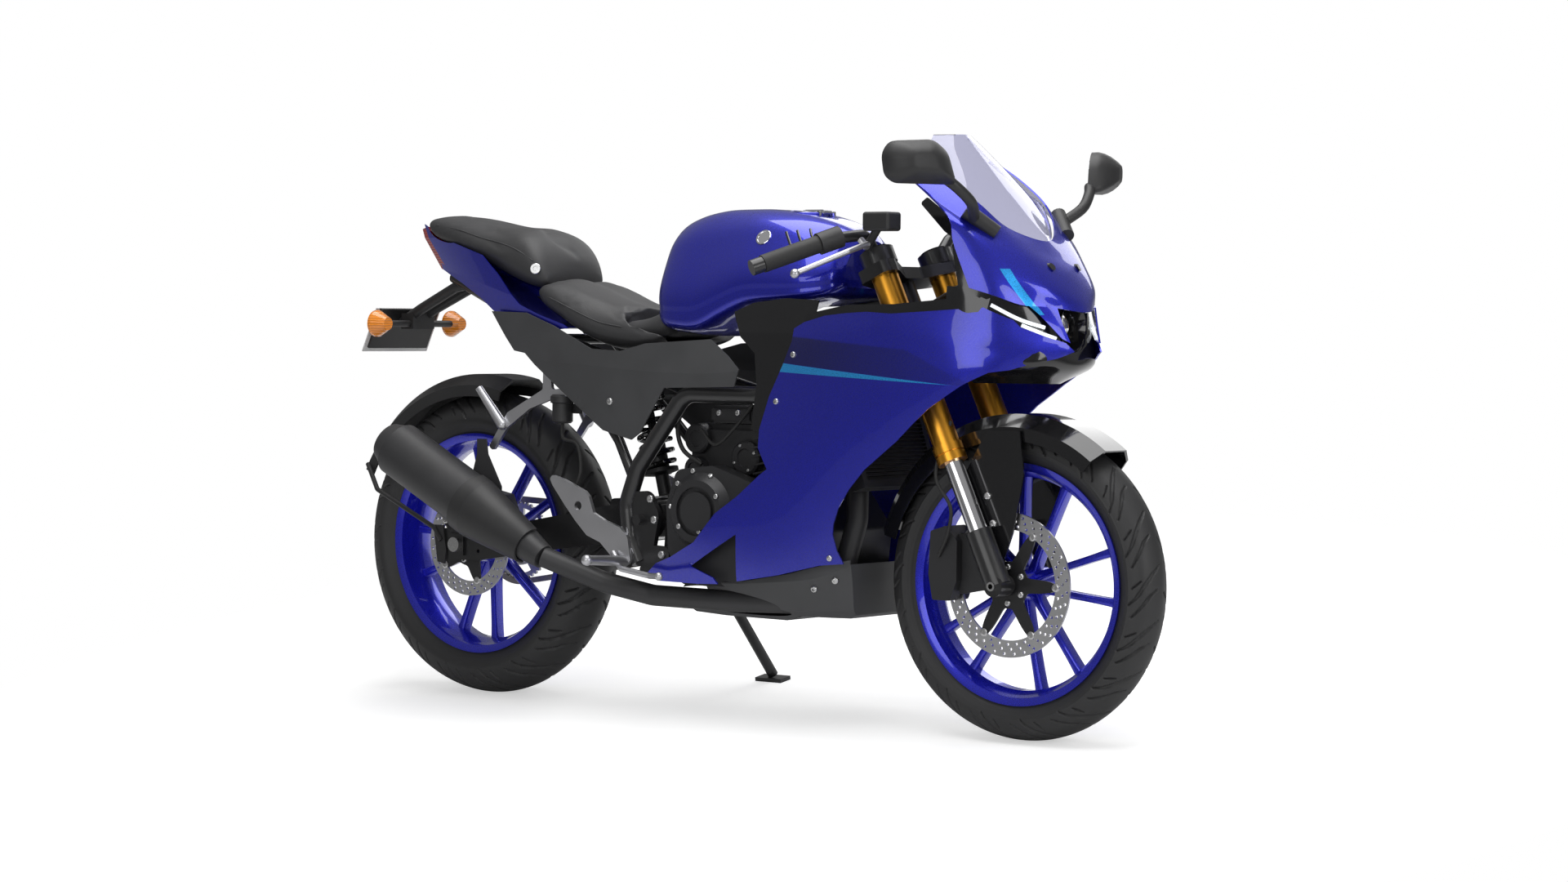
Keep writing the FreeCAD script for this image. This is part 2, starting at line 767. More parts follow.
@lru_cache
def bars():
    """The two clip-on bars, each clamped round its fork leg above the yoke."""
    low = HEAD_HIGH + YOKE_GAP + YOKE_THICKNESS
    ring = raked(fork_rod(RIGHT, low, low + BAR_CLAMP_HEIGHT, BAR_CLAMP_RADIUS))
    leg = raked(fork_rod(RIGHT, low - OVERRUN, FORK_TOP, FORK_TUBE_RADIUS))
    start = raked_point(0, -FORK_HALF_SPREAD, low + BAR_CLAMP_HEIGHT / 2)
    points = [start] + [at(share) for share in BAR_SHARES[1:]]
    bar = tube(points, BAR_RADIUS, BAR_RADIUS * 2)
    weight = rod(at(BAR_SHARES[3]), bar_point(BAR_END_LENGTH), BAR_END_RADIUS)
    grip_core = rod(bar_point(BAR_END_LENGTH), bar_point(BAR_END_LENGTH + GRIP_LENGTH), GRIP_RADIUS)
    body = joined([joined([ring, bar]).cut(leg), weight])
    return both_sides(body), grip_core.cut(bar)


@lru_cache
def hand_controls():
    """The switch housings beside the grips."""
    start = bar_point(BAR_END_LENGTH + GRIP_LENGTH)
    end = bar_point(BAR_END_LENGTH + GRIP_LENGTH + CONTROL_LENGTH)
    body = rod(start, end, CONTROL_RADIUS)
    return both_sides(largest(body.cut(bars()[0])))


LEVER_SHARES = [
    (0.796, -0.207, 0.811), (0.816, -0.255, 0.816), (0.813, -0.331, 0.803),
    (0.779, -0.476, 0.765),
]


@lru_cache
def hand_levers():
    """Brake and clutch levers with ball ends, pivoted ahead of the grips."""
    points = [at(share) for share in LEVER_SHARES]
    blade = tube(points, LEVER_THICKNESS / 2 + LEVER_ROUND, LEVER_WIDTH)
    perch = rod(at(PERCH_SHARE), points[0], LEVER_WIDTH / 2)
    lever = joined([blade, ball(points[-1], LEVER_BALL_RADIUS), perch])
    return both_sides(largest(lever.cut(bars()[0])))


LEVER_ROUND = 1.5
PERCH_SHARE = (0.784, -0.221, 0.831)
RESERVOIR_SHARE = (0.833, -0.237, 0.853)


@lru_cache
def brake_reservoir():
    """The front brake's fluid box on its bracket above the right lever."""
    centre = at(RESERVOIR_SHARE)
    size = V(RESERVOIR_LENGTH, RESERVOIR_WIDTH, RESERVOIR_HEIGHT)
    tank = Part.makeBox(size.x, size.y, size.z, centre - size / 2)
    tank = tank.makeFillet(RESERVOIR_FILLET, tank.Edges)
    neck = rod(centre, at(LEVER_SHARES[0]), LEVER_THICKNESS)
    return joined([tank, neck]).cut(hand_levers())


def ring_guard(centre, radius, wall, half_width, drop, start_deg, end_deg):
    """A mudguard that follows its tyre, with sides that turn down."""
    outer = radius + wall
    inner_half = half_width - wall
    shoulder = drop * GUARD_SHOULDER_SHARE
    profile = [
        (radius - drop, -half_width), (radius - shoulder, -half_width),
        (outer, -half_width * GUARD_CROWN_SHARE), (outer, half_width * GUARD_CROWN_SHARE),
        (radius - shoulder, half_width), (radius - drop, half_width),
        (radius - drop, inner_half), (radius - shoulder - wall, inner_half),
        (radius, half_width * GUARD_CROWN_SHARE - wall),
        (radius, wall - half_width * GUARD_CROWN_SHARE),
        (radius - shoulder - wall, -inner_half), (radius - drop, -inner_half),
    ]
    points = [centre + V(0, y, r) for r, y in profile]
    face = Part.Face(polygon(points))
    face.rotate(centre, V(0, 1, 0), start_deg)
    return face.revolve(centre, V(0, 1, 0), end_deg - start_deg)


GUARD_SHOULDER_SHARE = 0.45
GUARD_CROWN_SHARE = 0.55
FRONT_GUARD_REAR_DEG = -74.0
FRONT_GUARD_FRONT_DEG = 37.0
GUARD_LEG_SHARES = [
    (0.966, 0.513), (1.02, 0.513), (1.028, 0.443), (1.02, 0.395), (1.011, 0.346),
    (0.996, 0.298), (0.974, 0.303), (0.945, 0.377), (0.929, 0.439),
]
GUARD_LEG_THICKNESS = 4.0


@lru_cache
def front_guard():
    """The front mudguard with a leg on each side that bolts to the fork."""
    radius = FRONT_TYRE_RADIUS + FRONT_GUARD_GAP
    arch = ring_guard(FRONT_AXLE, radius, FRONT_GUARD_WALL, FRONT_GUARD_HALF_WIDTH,
                      FRONT_GUARD_DROP, FRONT_GUARD_REAR_DEG, FRONT_GUARD_FRONT_DEG)
    outer = FRONT_GUARD_HALF_WIDTH + GUARD_LEG_STEP
    pieces = [arch]
    for side in (RIGHT, LEFT):
        low = min(side * outer, side * (outer - GUARD_LEG_THICKNESS))
        leg = shape_of(GUARD_LEG_SHARES, low, low + GUARD_LEG_THICKNESS)
        pieces.append(leg)
        top = flat(GUARD_LEG_TOP_SHARE, 0)
        pieces.append(rod(V(top.x, side * (FRONT_GUARD_HALF_WIDTH - FRONT_GUARD_WALL), top.z),
                          V(top.x, side * outer, top.z), BOLT_BOSS_RADIUS))
        lower = raked_point(0, side * FORK_HALF_SPREAD, FORK_BOTTOM_TOP - BOLT_BOSS_RADIUS)
        pieces.append(rod(V(lower.x, side * outer, lower.z), V(lower.x, side * (FORK_HALF_SPREAD
                      - FORK_BOTTOM_RADIUS * BOSS_REACH_SHARE), lower.z), BOLT_BOSS_RADIUS / 2))
    body = joined(pieces)
    for side in (RIGHT, LEFT):
        body = body.cut(raked(fork_rod(side, -OVERRUN, FORK_BOTTOM_TOP, FORK_BOTTOM_RADIUS)))
    return body


GUARD_LEG_STEP = 8.0
GUARD_LEG_TOP_SHARE = (0.99, 0.502)
BOSS_REACH_SHARE = 0.9
CALIPER_SHARES = [
    (0.884, 0.344), (0.911, 0.354), (0.929, 0.329), (0.929, 0.263), (0.918, 0.23),
    (0.888, 0.23), (0.881, 0.272),
]
CALIPER_BRACKET_SHARES = [
    (0.914, 0.338), (0.945, 0.344), (0.987, 0.289), (0.987, 0.254), (0.929, 0.241),
    (0.915, 0.254),
]
CALIPER_OUTER_Y = 98.0
CALIPER_INNER_Y = 36.0
CALIPER_FILLET = 5.0
DISC_GAP = 5.0
CALIPER_BRACKET_THICKNESS = 8.0


def slot_for(centre, radius, y):
    """The space that a turning disc needs in its caliper."""
    half = DISC_THICKNESS / 2 + DISC_GAP
    return rod(centre + V(0, y - half, 0), centre + V(0, y + half, 0), radius + DISC_GAP)


@lru_cache
def front_caliper():
    """The front brake caliper, astride the disc behind the right fork leg."""
    body = soft_shape(CALIPER_SHARES, -CALIPER_OUTER_Y, -CALIPER_INNER_Y, CALIPER_FILLET)
    low = FORK_HALF_SPREAD - FORK_BOTTOM_RADIUS
    bracket = shape_of(CALIPER_BRACKET_SHARES, -low - CALIPER_BRACKET_THICKNESS, -low)
    body = joined([body.cut(slot_for(FRONT_AXLE, FRONT_DISC_RADIUS, -FRONT_DISC_Y)), bracket])
    body = body.cut(raked(fork_rod(RIGHT, -OVERRUN * 2, FORK_BOTTOM_TOP, FORK_BOTTOM_RADIUS)))
    inner = -(FORK_HALF_SPREAD - FORK_BOTTOM_RADIUS)
    outer = -(FORK_HALF_SPREAD + FORK_BOTTOM_RADIUS)
    body = body.cut(raked(rod(V(0, inner, 0), V(0, outer, 0), FORK_BOTTOM_RADIUS)))
    return largest(body.cut(front_guard()))


# frame


SPAR_SHARES = [
    (0.797, -0.041, 0.68), (0.749, -0.103, 0.651), (0.659, -0.177, 0.586),
    (0.599, -0.193, 0.561), (0.468, -0.201, 0.561), (0.38, -0.201, 0.43),
    (0.36, -0.201, 0.368), (0.366, -0.201, 0.307), (0.385, -0.201, 0.265),
]
SUBFRAME_SHARES = [
    (0.466, -0.154, 0.561), (0.33, -0.127, 0.605), (0.187, -0.121, 0.651),
    (0.045, -0.091, 0.715), (-0.052, -0.072, 0.761),
]
BRACE_SHARES = [
    (0.367, -0.193, 0.412), (0.322, -0.154, 0.474), (0.187, -0.121, 0.647),
]
PIVOT_SHARE = (0.391, 0.34)
PIVOT_PLATE_SHARES = [
    (0.351, 0.386), (0.404, 0.391), (0.424, 0.351), (0.413, 0.289), (0.39, 0.251),
    (0.363, 0.281), (0.349, 0.342),
]
PIVOT_PLATE_Y = 140.0
PIVOT_PLATE_THICKNESS = 12.0
PIVOT_TUBE_Y = 127.0
LOWER_CROSS_SHARE = (0.397, 0.253)
ENGINE_REAR_BOLT_SHARE = (0.424, 0.284)
ENGINE_TOP_BOLT_SHARE = (0.599, 0.561)
REAR_CROSS_SHARE = (-0.03, 0.751)


@lru_cache
def main_frame():
    """Head tube, two spars that bend down to the swingarm's pivot plates."""
    head = raked(rod(V(-FORK_OFFSET, 0, HEAD_LOW), V(-FORK_OFFSET, 0, HEAD_HIGH), HEAD_TUBE_RADIUS))
    bore = raked(rod(V(-FORK_OFFSET, 0, HEAD_LOW - OVERRUN), V(-FORK_OFFSET, 0, HEAD_HIGH + OVERRUN),
                     STEM_RADIUS + FIT))
    head_mid = raked_point(-FORK_OFFSET, 0, (HEAD_LOW + HEAD_HIGH) / 2)
    points = [V(head_mid.x, 0, head_mid.z)] + [at(share) for share in SPAR_SHARES[1:]]
    spar = tube(points, SPAR_RADIUS, SPAR_RADIUS * 3)
    plate = soft_shape(PIVOT_PLATE_SHARES, -PIVOT_PLATE_Y - PIVOT_PLATE_THICKNESS, -PIVOT_PLATE_Y,
                       PIVOT_BOSS_RADIUS)
    pieces = [head]
    for half in (spar, plate):
        pieces.extend([half, mirrored(half)])
    reach = PIVOT_PLATE_Y + PIVOT_PLATE_THICKNESS
    pieces.append(across(LOWER_CROSS_SHARE, -reach, reach, CROSS_TUBE_RADIUS))
    outside = reach + SPAR_RADIUS
    pivot = across(PIVOT_SHARE, -outside, outside, PIVOT_RADIUS)
    pieces.append(pivot)
    pieces.append(across(ENGINE_REAR_BOLT_SHARE, -reach, GEARBOX_LEFT_Y, ENGINE_BOLT_RADIUS))
    for side in (RIGHT, LEFT):
        pieces.append(across(PIVOT_SHARE, side * PIVOT_TUBE_Y, side * PIVOT_PLATE_Y,
                             PIVOT_BOSS_RADIUS * BRACE_SHARE))
    pieces.append(across(ENGINE_TOP_BOLT_SHARE, -reach, reach, CROSS_TUBE_RADIUS))
    for side in (RIGHT, LEFT):
        lug = soft_shape(ENGINE_LUG_SHARES, side * PIVOT_PLATE_Y, side * reach, BOLT_BOSS_RADIUS)
        pieces.append(lug)
    return largest(joined(pieces + [stand_bracket()]).cut(bore).cut(chain_room(TOOTH_GAP)))


ENGINE_LUG_SHARES = [
    (0.39, 0.298), (0.442, 0.295), (0.445, 0.263), (0.397, 0.249),
]


@lru_cache
def subframe():
    """The two rails under the seats with their braces and rear cross tube."""
    rail = tube([at(share) for share in SUBFRAME_SHARES], RAIL_RADIUS, RAIL_RADIUS * 3)
    brace = tube([at(share) for share in BRACE_SHARES], RAIL_RADIUS * BRACE_SHARE, RAIL_RADIUS * 3)
    pieces = [rail, mirrored(rail), brace, mirrored(brace)]
    reach = abs(at(SUBFRAME_SHARES[4]).y)
    pieces.append(across(REAR_CROSS_SHARE, -reach, reach, RAIL_RADIUS * BRACE_SHARE))
    middle = abs(at(SUBFRAME_SHARES[2]).y)
    pieces.append(across((SUBFRAME_SHARES[2][0], SUBFRAME_SHARES[2][2]), -middle, middle,
                         RAIL_RADIUS * BRACE_SHARE))
    return joined(pieces)


BRACE_SHARE = 0.8

# engine


CRANKCASE_SHARES = [
    (0.457, 0.254), (0.479, 0.23), (0.659, 0.23), (0.697, 0.263), (0.704, 0.333),
    (0.663, 0.396), (0.524, 0.426), (0.457, 0.412),
]
GEARBOX_SHARES = [
    (0.41, 0.263), (0.449, 0.23), (0.479, 0.23), (0.479, 0.412), (0.449, 0.405),
    (0.419, 0.386),
]
CYLINDER_SHARES = [
    (0.553, 0.412), (0.662, 0.377), (0.728, 0.532), (0.631, 0.586),
]
GEARBOX_LEFT_Y = 66.0
CYLINDER_HALF_WIDTH = 72.0
CLUTCH_CENTRE_SHARE = (0.503, 0.36)
COVER_RIGHT_SHARES = [
    (0.442, 0.289), (0.464, 0.25), (0.569, 0.241), (0.637, 0.272), (0.652, 0.351),
    (0.599, 0.412), (0.524, 0.439), (0.457, 0.43), (0.438, 0.368),
]
COVER_STEP = 38.0
GENERATOR_CENTRE_SHARE = (0.599, 0.309)
SPROCKET_COVER_SHARES = [
    (0.419, 0.289), (0.43, 0.26), (0.479, 0.25), (0.524, 0.263), (0.524, 0.368),
    (0.449, 0.377), (0.421, 0.354),
]
SPROCKET_COVER_Y = 106.0


@lru_cache
def engine():
    """The crankcase, gearbox and forward-leaning cylinder as one block."""
    case = soft_shape(CRANKCASE_SHARES, -ENGINE_HALF_WIDTH, ENGINE_HALF_WIDTH, BOLT_BOSS_RADIUS)
    gearbox = soft_shape(GEARBOX_SHARES, -ENGINE_HALF_WIDTH, GEARBOX_LEFT_Y, BOLT_BOSS_RADIUS)
    cylinder = soft_shape(CYLINDER_SHARES, -CYLINDER_HALF_WIDTH, CYLINDER_HALF_WIDTH,
                          BOLT_BOSS_RADIUS)
    shaft = across(FRONT_SPROCKET_SHARE, 0, CHAIN_Y + SPROCKET_THICKNESS, PIVOT_RADIUS)
    drive = sprocket(flat(FRONT_SPROCKET_SHARE, 0), CHAIN_Y, FRONT_TEETH, SPROCKET_THICKNESS)
    body = joined([case, gearbox, cylinder])
    room = Part.Face(Part.Wire(belt(CHAIN_PLATE_HEIGHT)))
    room.translate(V(0, GEARBOX_LEFT_Y, 0))
    body = body.cut(room.extrude(V(0, SPROCKET_COVER_Y - GEARBOX_LEFT_Y, 0)))
    body = joined([body, shaft, drive])
    body = body.cut(across(PIVOT_SHARE, -PIVOT_PLATE_Y, PIVOT_PLATE_Y,
                           PIVOT_BOSS_RADIUS + SIDE_GAP))
    body = body.cut(swingarm())
    return body.cut(across(ENGINE_REAR_BOLT_SHARE, -COVER_OUTER_Y, COVER_OUTER_Y,
                           ENGINE_BOLT_RADIUS))


@lru_cache
def engine_covers():
    """The round clutch cover, the generator cover and the sprocket cover."""
    centre = flat(CLUTCH_CENTRE_SHARE, 0)
    step = -ENGINE_HALF_WIDTH - COVER_STEP
    base = soft_shape(COVER_RIGHT_SHARES, step, -ENGINE_HALF_WIDTH, PIVOT_BOSS_RADIUS)
    bowl = cone(centre + V(0, step, 0), centre + V(0, -COVER_OUTER_Y, 0), CLUTCH_COVER_RADIUS,
                CLUTCH_COVER_RADIUS - CLUTCH_RING_DEPTH)
    dish = rod(centre + V(0, -COVER_OUTER_Y - OVERRUN, 0),
               centre + V(0, -COVER_OUTER_Y + CLUTCH_RING_DEPTH / 2, 0),
               CLUTCH_COVER_RADIUS - CLUTCH_RING_DEPTH * 2)
    boss = rod(centre + V(0, -COVER_OUTER_Y + CLUTCH_RING_DEPTH / 2, 0),
               centre + V(0, -COVER_OUTER_Y, 0), CLUTCH_COVER_RADIUS / 2)
    right = joined([joined([base, bowl]).cut(dish), boss])
    left_centre = flat(GENERATOR_CENTRE_SHARE, 0)
    generator = cone(left_centre + V(0, ENGINE_HALF_WIDTH, 0),
                     left_centre + V(0, GENERATOR_OUTER_Y, 0), GENERATOR_COVER_RADIUS,
                     GENERATOR_COVER_RADIUS - CLUTCH_RING_DEPTH)
    cover = soft_shape(SPROCKET_COVER_SHARES, SPROCKET_COVER_Y, GENERATOR_OUTER_Y - OVERRUN,
                       BOLT_BOSS_RADIUS)
    plate = joined([generator, cover, soft_shape(LEFT_PLATE_SHARES, ENGINE_HALF_WIDTH,
                                                 ENGINE_HALF_WIDTH + CLUTCH_RING_DEPTH,
                                                 BOLT_BOSS_RADIUS)])
    return kept_apart([largest(side.cut(engine()).cut(main_frame()).cut(side_cowls()))
                       for side in (right, plate)])


LEFT_PLATE_SHARES = [
    (0.468, 0.263), (0.524, 0.241), (0.644, 0.246), (0.667, 0.307), (0.644, 0.377),
    (0.524, 0.395), (0.468, 0.377),
]
RADIATOR_FOOT_SHARE = (0.784, 0.412)
RADIATOR_LEAN_DEG = 18.0


@lru_cache
def radiator():
    """The finned core between its two side tanks, leaned back like the fork."""
    foot = flat(RADIATOR_FOOT_SHARE, 0)
    low = foot + V(-RADIATOR_DEPTH, -RADIATOR_HALF_WIDTH, 0)
    width = 2 * RADIATOR_HALF_WIDTH
    core_wall = RADIATOR_DEPTH / 4
    core = Part.makeBox(RADIATOR_DEPTH - 2 * core_wall, width, RADIATOR_HEIGHT,
                        low + V(core_wall, 0, 0))
    pieces = [core]
    for z in (0, RADIATOR_HEIGHT - RADIATOR_TANK):
        pieces.append(Part.makeBox(RADIATOR_DEPTH, width, RADIATOR_TANK, low + V(0, 0, z)))
    for y in (0, width - RADIATOR_TANK):
        pieces.append(Part.makeBox(RADIATOR_DEPTH, RADIATOR_TANK, RADIATOR_HEIGHT,
                                   low + V(0, y, 0)))
    pitch = (RADIATOR_HEIGHT - RADIATOR_TANK) / (RADIATOR_FINS + 1)
    for i in range(RADIATOR_FINS):
        pieces.append(Part.makeBox(RADIATOR_DEPTH, width - RADIATOR_TANK, FIN_THICKNESS,
                                   low + V(0, RADIATOR_TANK / 2, pitch * (i + 1) + RADIATOR_TANK / 2)))
    body = joined(pieces)
    body.rotate(foot, V(0, 1, 0), -RADIATOR_LEAN_DEG)
    arm = tube([at(share) for share in RADIATOR_ARM_SHARES], RAIL_RADIUS / 2, RAIL_RADIUS)
    return largest(joined([body, arm, mirrored(arm)]).cut(main_frame()))


RADIATOR_ARM_SHARES = [
    (0.742, -0.145, 0.518), (0.73, -0.145, 0.561), (0.719, -0.138, 0.618),
]

# exhaust


PIPE_SHARES = [
    (0.667, -0.041, 0.491), (0.722, -0.044, 0.47), (0.733, -0.076, 0.351),
    (0.715, -0.11, 0.237), (0.667, -0.127, 0.209), (0.524, -0.138, 0.205),
    (0.39, -0.154, 0.207), (0.315, -0.193, 0.226), (0.225, -0.262, 0.268),
]
SILENCER_FRONT_SHARE = (0.225, 0.268)
SILENCER_REAR_SHARE = (-0.071, 0.447)
HANGER_SHARES = [
    (0.046, 0.377), (0.112, 0.347), (0.112, 0.386), (0.084, 0.443), (0.081, 0.47),
    (0.063, 0.47), (0.063, 0.443),
]


@lru_cache
def pipe_run():
    """The pipe's whole run, from inside the cylinder to inside the silencer."""
    return tube([at(share) for share in PIPE_SHARES], PIPE_RADIUS, PIPE_RADIUS * 2.5)


@lru_cache
def exhaust_pipe():
    """The pipe from the cylinder, down behind the wheel and back to the silencer."""
    return largest(pipe_run().cut(engine()).cut(silencer()))


def silencer_turned(profile, start_deg, sweep_deg):
    """A solid turned about the silencer's axis from (share of its length, radius) pairs."""
    front = flat(SILENCER_FRONT_SHARE, -SILENCER_Y)
    rear = flat(SILENCER_REAR_SHARE, -SILENCER_Y)
    along = rear - front
    away = V(0, -1, 0)
    points = [front + along * share + away * radius for share, radius in profile]
    face = Part.Face(polygon(points))
    face.rotate(front, along, start_deg)
    return face.revolve(front, along, sweep_deg)


@lru_cache
def silencer():
    """The silencer: a cone, a drum and an end cap with its outlet."""
    neck = PIPE_RADIUS + SILENCER_WALL
    cap = SILENCER_RADIUS * CAP_END_SHARE
    body = silencer_turned([
        (0, 0), (0, neck), (CONE_END_SHARE, SILENCER_RADIUS), (1, SILENCER_RADIUS),
        (1, SILENCER_RADIUS - CAP_STEP), (CAP_REAR_SHARE, cap), (CAP_REAR_SHARE, OUTLET_RADIUS),
        (1, OUTLET_RADIUS), (1, 0),
    ], 0, 360)
    hanger = shape_of(HANGER_SHARES, -HANGER_Y - BRACKET_THICKNESS / 2, -HANGER_Y)
    return joined([body, hanger])


CONE_END_SHARE = 0.43
CAP_REAR_SHARE = 1.075
CAP_STEP = 3.0
CAP_END_SHARE = 0.72
HANGER_Y = 146.0


@lru_cache
def silencer_shield():
    """The heat shield wrapped round the outer side of the silencer's front."""
    neck = PIPE_RADIUS + SILENCER_WALL + SHIELD_GAP
    drum = SILENCER_RADIUS + SHIELD_GAP
    shell = silencer_turned([
        (SHIELD_FRONT_SHARE, neck + (drum - neck) * SHIELD_FRONT_SHARE / CONE_END_SHARE),
        (CONE_END_SHARE, drum), (SHIELD_REAR_SHARE, drum),
        (SHIELD_REAR_SHARE, drum + SHIELD_WALL), (CONE_END_SHARE, drum + SHIELD_WALL),
        (SHIELD_FRONT_SHARE,
         neck + SHIELD_WALL + (drum - neck) * SHIELD_FRONT_SHARE / CONE_END_SHARE),
    ], -SHIELD_SWEEP_DEG / 2 + SHIELD_TURN_DEG, SHIELD_SWEEP_DEG)
    front = flat(SILENCER_FRONT_SHARE, -SILENCER_Y)
    rear = flat(SILENCER_REAR_SHARE, -SILENCER_Y)
    bosses = []
    for share in (CONE_END_SHARE, (CONE_END_SHARE + SHIELD_REAR_SHARE) / 2):
        seat = front + (rear - front) * share + V(0, -SILENCER_RADIUS + SHIELD_GAP, 0)
        bosses.append(rod(seat, seat + V(0, -2 * SHIELD_GAP - SHIELD_WALL / 2, 0),
                          BOLT_BOSS_RADIUS / 2))
    return largest(joined([shell] + bosses[1:]).cut(silencer()))


SHIELD_GAP = 3.0
SHIELD_FRONT_SHARE = 0.1
SHIELD_REAR_SHARE = 0.5
SHIELD_SWEEP_DEG = 190.0
SHIELD_TURN_DEG = 0.0

# swingarm and rear end


ARM_SHARES = [
    (-0.039, 0.303), (0.045, 0.304), (0.225, 0.342), (0.352, 0.372), (0.404, 0.367),
    (0.416, 0.333), (0.401, 0.309), (0.315, 0.296), (0.225, 0.281), (0.045, 0.249),
    (-0.039, 0.246),
]
ARM_CROSS_SHARES = [
    (0.294, 0.372), (0.352, 0.372), (0.375, 0.307), (0.3, 0.293),
]


@lru_cache
def swingarm():
    """Two box arms, the cross member ahead of the tyre and the pivot tube."""
    inner = SWINGARM_OUTER_Y - SWINGARM_THICKNESS * ARM_THIN_SHARE
    arm = soft_shape(ARM_SHARES, -SWINGARM_OUTER_Y, -inner, ADJUSTER_THICKNESS)
    pieces = [arm, mirrored(arm)]
    pieces.append(soft_shape(ARM_CROSS_SHARES, -inner, inner, BOLT_BOSS_RADIUS))
    pieces.append(across(PIVOT_SHARE, -PIVOT_TUBE_Y, PIVOT_TUBE_Y, PIVOT_BOSS_RADIUS))
    for side in (RIGHT, LEFT):
        block = box(V(-ADJUSTER_LENGTH / 2, 0, REAR_AXLE.z - ADJUSTER_HEIGHT / 2),
                    V(ADJUSTER_LENGTH / 2, ADJUSTER_THICKNESS, REAR_AXLE.z + ADJUSTER_HEIGHT / 2))
        outside = SWINGARM_OUTER_Y if side == LEFT else -SWINGARM_OUTER_Y - ADJUSTER_THICKNESS
        block.translate(V(0, outside, 0))
        pieces.append(block)
    body = joined(pieces)
    room = Part.Face(Part.Wire(belt(CHAIN_PLATE_HEIGHT)))
    room.translate(V(0, CHAIN_Y - CHAIN_WIDTH / 2 - SIDE_GAP, 0))
    tunnel = room.extrude(V(0, CHAIN_WIDTH + SIDE_GAP * 1.4, 0))
    body = body.cut(tunnel)
    reach = SWINGARM_OUTER_Y + OVERRUN
    body = body.cut(rod(REAR_AXLE - V(0, reach, 0), REAR_AXLE + V(0, reach, 0), AXLE_RADIUS))
    body = body.cut(across(PIVOT_SHARE, -PIVOT_PLATE_Y, PIVOT_PLATE_Y, PIVOT_RADIUS))
    for side in (RIGHT, LEFT):
        start = flat(SPOOL_SHARE, side * (SWINGARM_OUTER_Y + OVERRUN))
        end = flat(SPOOL_SHARE, side * (inner - OVERRUN / 4))
        body = body.cut(rod(start, end, SPOOL_HOLE_RADIUS))
    return largest(body)


ARM_THIN_SHARE = 0.64
SPOOL_SHARE = (0.042, 0.265)


def largest(shape):
    """The biggest solid of a cut, without loose offcuts."""
    return sorted(shape.Solids, key=lambda solid: solid.Volume)[-1]


@lru_cache
def rear_axle():
    """The rear axle with its spacers and its two heads."""
    end = SWINGARM_OUTER_Y + ADJUSTER_THICKNESS
    inner = SWINGARM_OUTER_Y - SWINGARM_THICKNESS * ARM_THIN_SHARE
    left = CHAIN_Y + SPROCKET_THICKNESS / 2 + SPACER_GAP
    right = REAR_DISC_Y + DISC_THICKNESS / 2 + SPACER_GAP
    low = REAR_AXLE - V(0, end, 0)
    high = REAR_AXLE + V(0, end, 0)
    pieces = [rod(low - V(0, AXLE_HEAD, 0), low, AXLE_HEAD_RADIUS),
              rod(low, high, AXLE_RADIUS),
              rod(high, high + V(0, AXLE_HEAD, 0), AXLE_HEAD_RADIUS),
              rod(REAR_AXLE + V(0, left, 0), REAR_AXLE + V(0, inner, 0), SPACER_RADIUS),
              rod(REAR_AXLE - V(0, inner, 0), REAR_AXLE - V(0, right, 0), SPACER_RADIUS)]
    return joined(pieces)


AXLE_HEAD = 9.0
AXLE_HEAD_RADIUS = 15.0
REAR_GUARD_REAR_DEG = -64.0
REAR_GUARD_FRONT_DEG = 14.0


@lru_cache
def rear_guard():
    """The hugger over the rear tyre with its two stays to the swingarm."""
    radius = REAR_TYRE_RADIUS + REAR_GUARD_GAP
    arch = ring_guard(REAR_AXLE, radius, REAR_GUARD_WALL, REAR_GUARD_HALF_WIDTH,
                      REAR_GUARD_DROP, REAR_GUARD_REAR_DEG, REAR_GUARD_FRONT_DEG)
    pieces = [arch]
    stay = tube([at(share) for share in STAY_ROUTE_SHARES], STAY_RADIUS, STAY_RADIUS * 3)
    plate = shape_of(STAY_PLATE_SHARES, -SWINGARM_OUTER_Y - STAY_RADIUS, -SWINGARM_OUTER_Y)
    side = joined([stay, plate])
    pieces.extend([side, mirrored(side)])
    return joined(pieces)


STAY_RADIUS = 5.0
STAY_ROUTE_SHARES = [
    (-0.219, -0.102, 0.412), (-0.172, -0.154, 0.368), (-0.045, -0.163, 0.303),
    (-0.031, -0.163, 0.281),
]
STAY_PLATE_SHARES = [
    (-0.048, 0.309), (-0.028, 0.309), (-0.021, 0.263), (-0.025, 0.239), (-0.039, 0.242),
]


@lru_cache
def rear_caliper():
    """The rear brake caliper on its bracket above the swingarm."""
    body = soft_shape(CALIPER_BODY_SHARES, -REAR_CALIPER_OUTER_Y, -REAR_CALIPER_INNER_Y,
                      CALIPER_FILLET)
    body = body.cut(slot_for(REAR_AXLE, REAR_DISC_RADIUS, -REAR_DISC_Y))
    foot = shape_of(CALIPER_FOOT_SHARES, -REAR_CALIPER_OUTER_Y,
                    -SWINGARM_OUTER_Y + SWINGARM_THICKNESS * ARM_THIN_SHARE)
    return largest(joined([body, foot]).cut(swingarm()))


REAR_CALIPER_OUTER_Y = 104.0
REAR_CALIPER_INNER_Y = 52.0
CALIPER_BODY_SHARES = [
    (0.046, 0.326), (0.069, 0.316), (0.087, 0.337), (0.075, 0.368), (0.043, 0.375),
]
CALIPER_FOOT_SHARES = [
    (0.045, 0.304), (0.082, 0.31), (0.084, 0.337), (0.052, 0.337),
]

# tank and seats


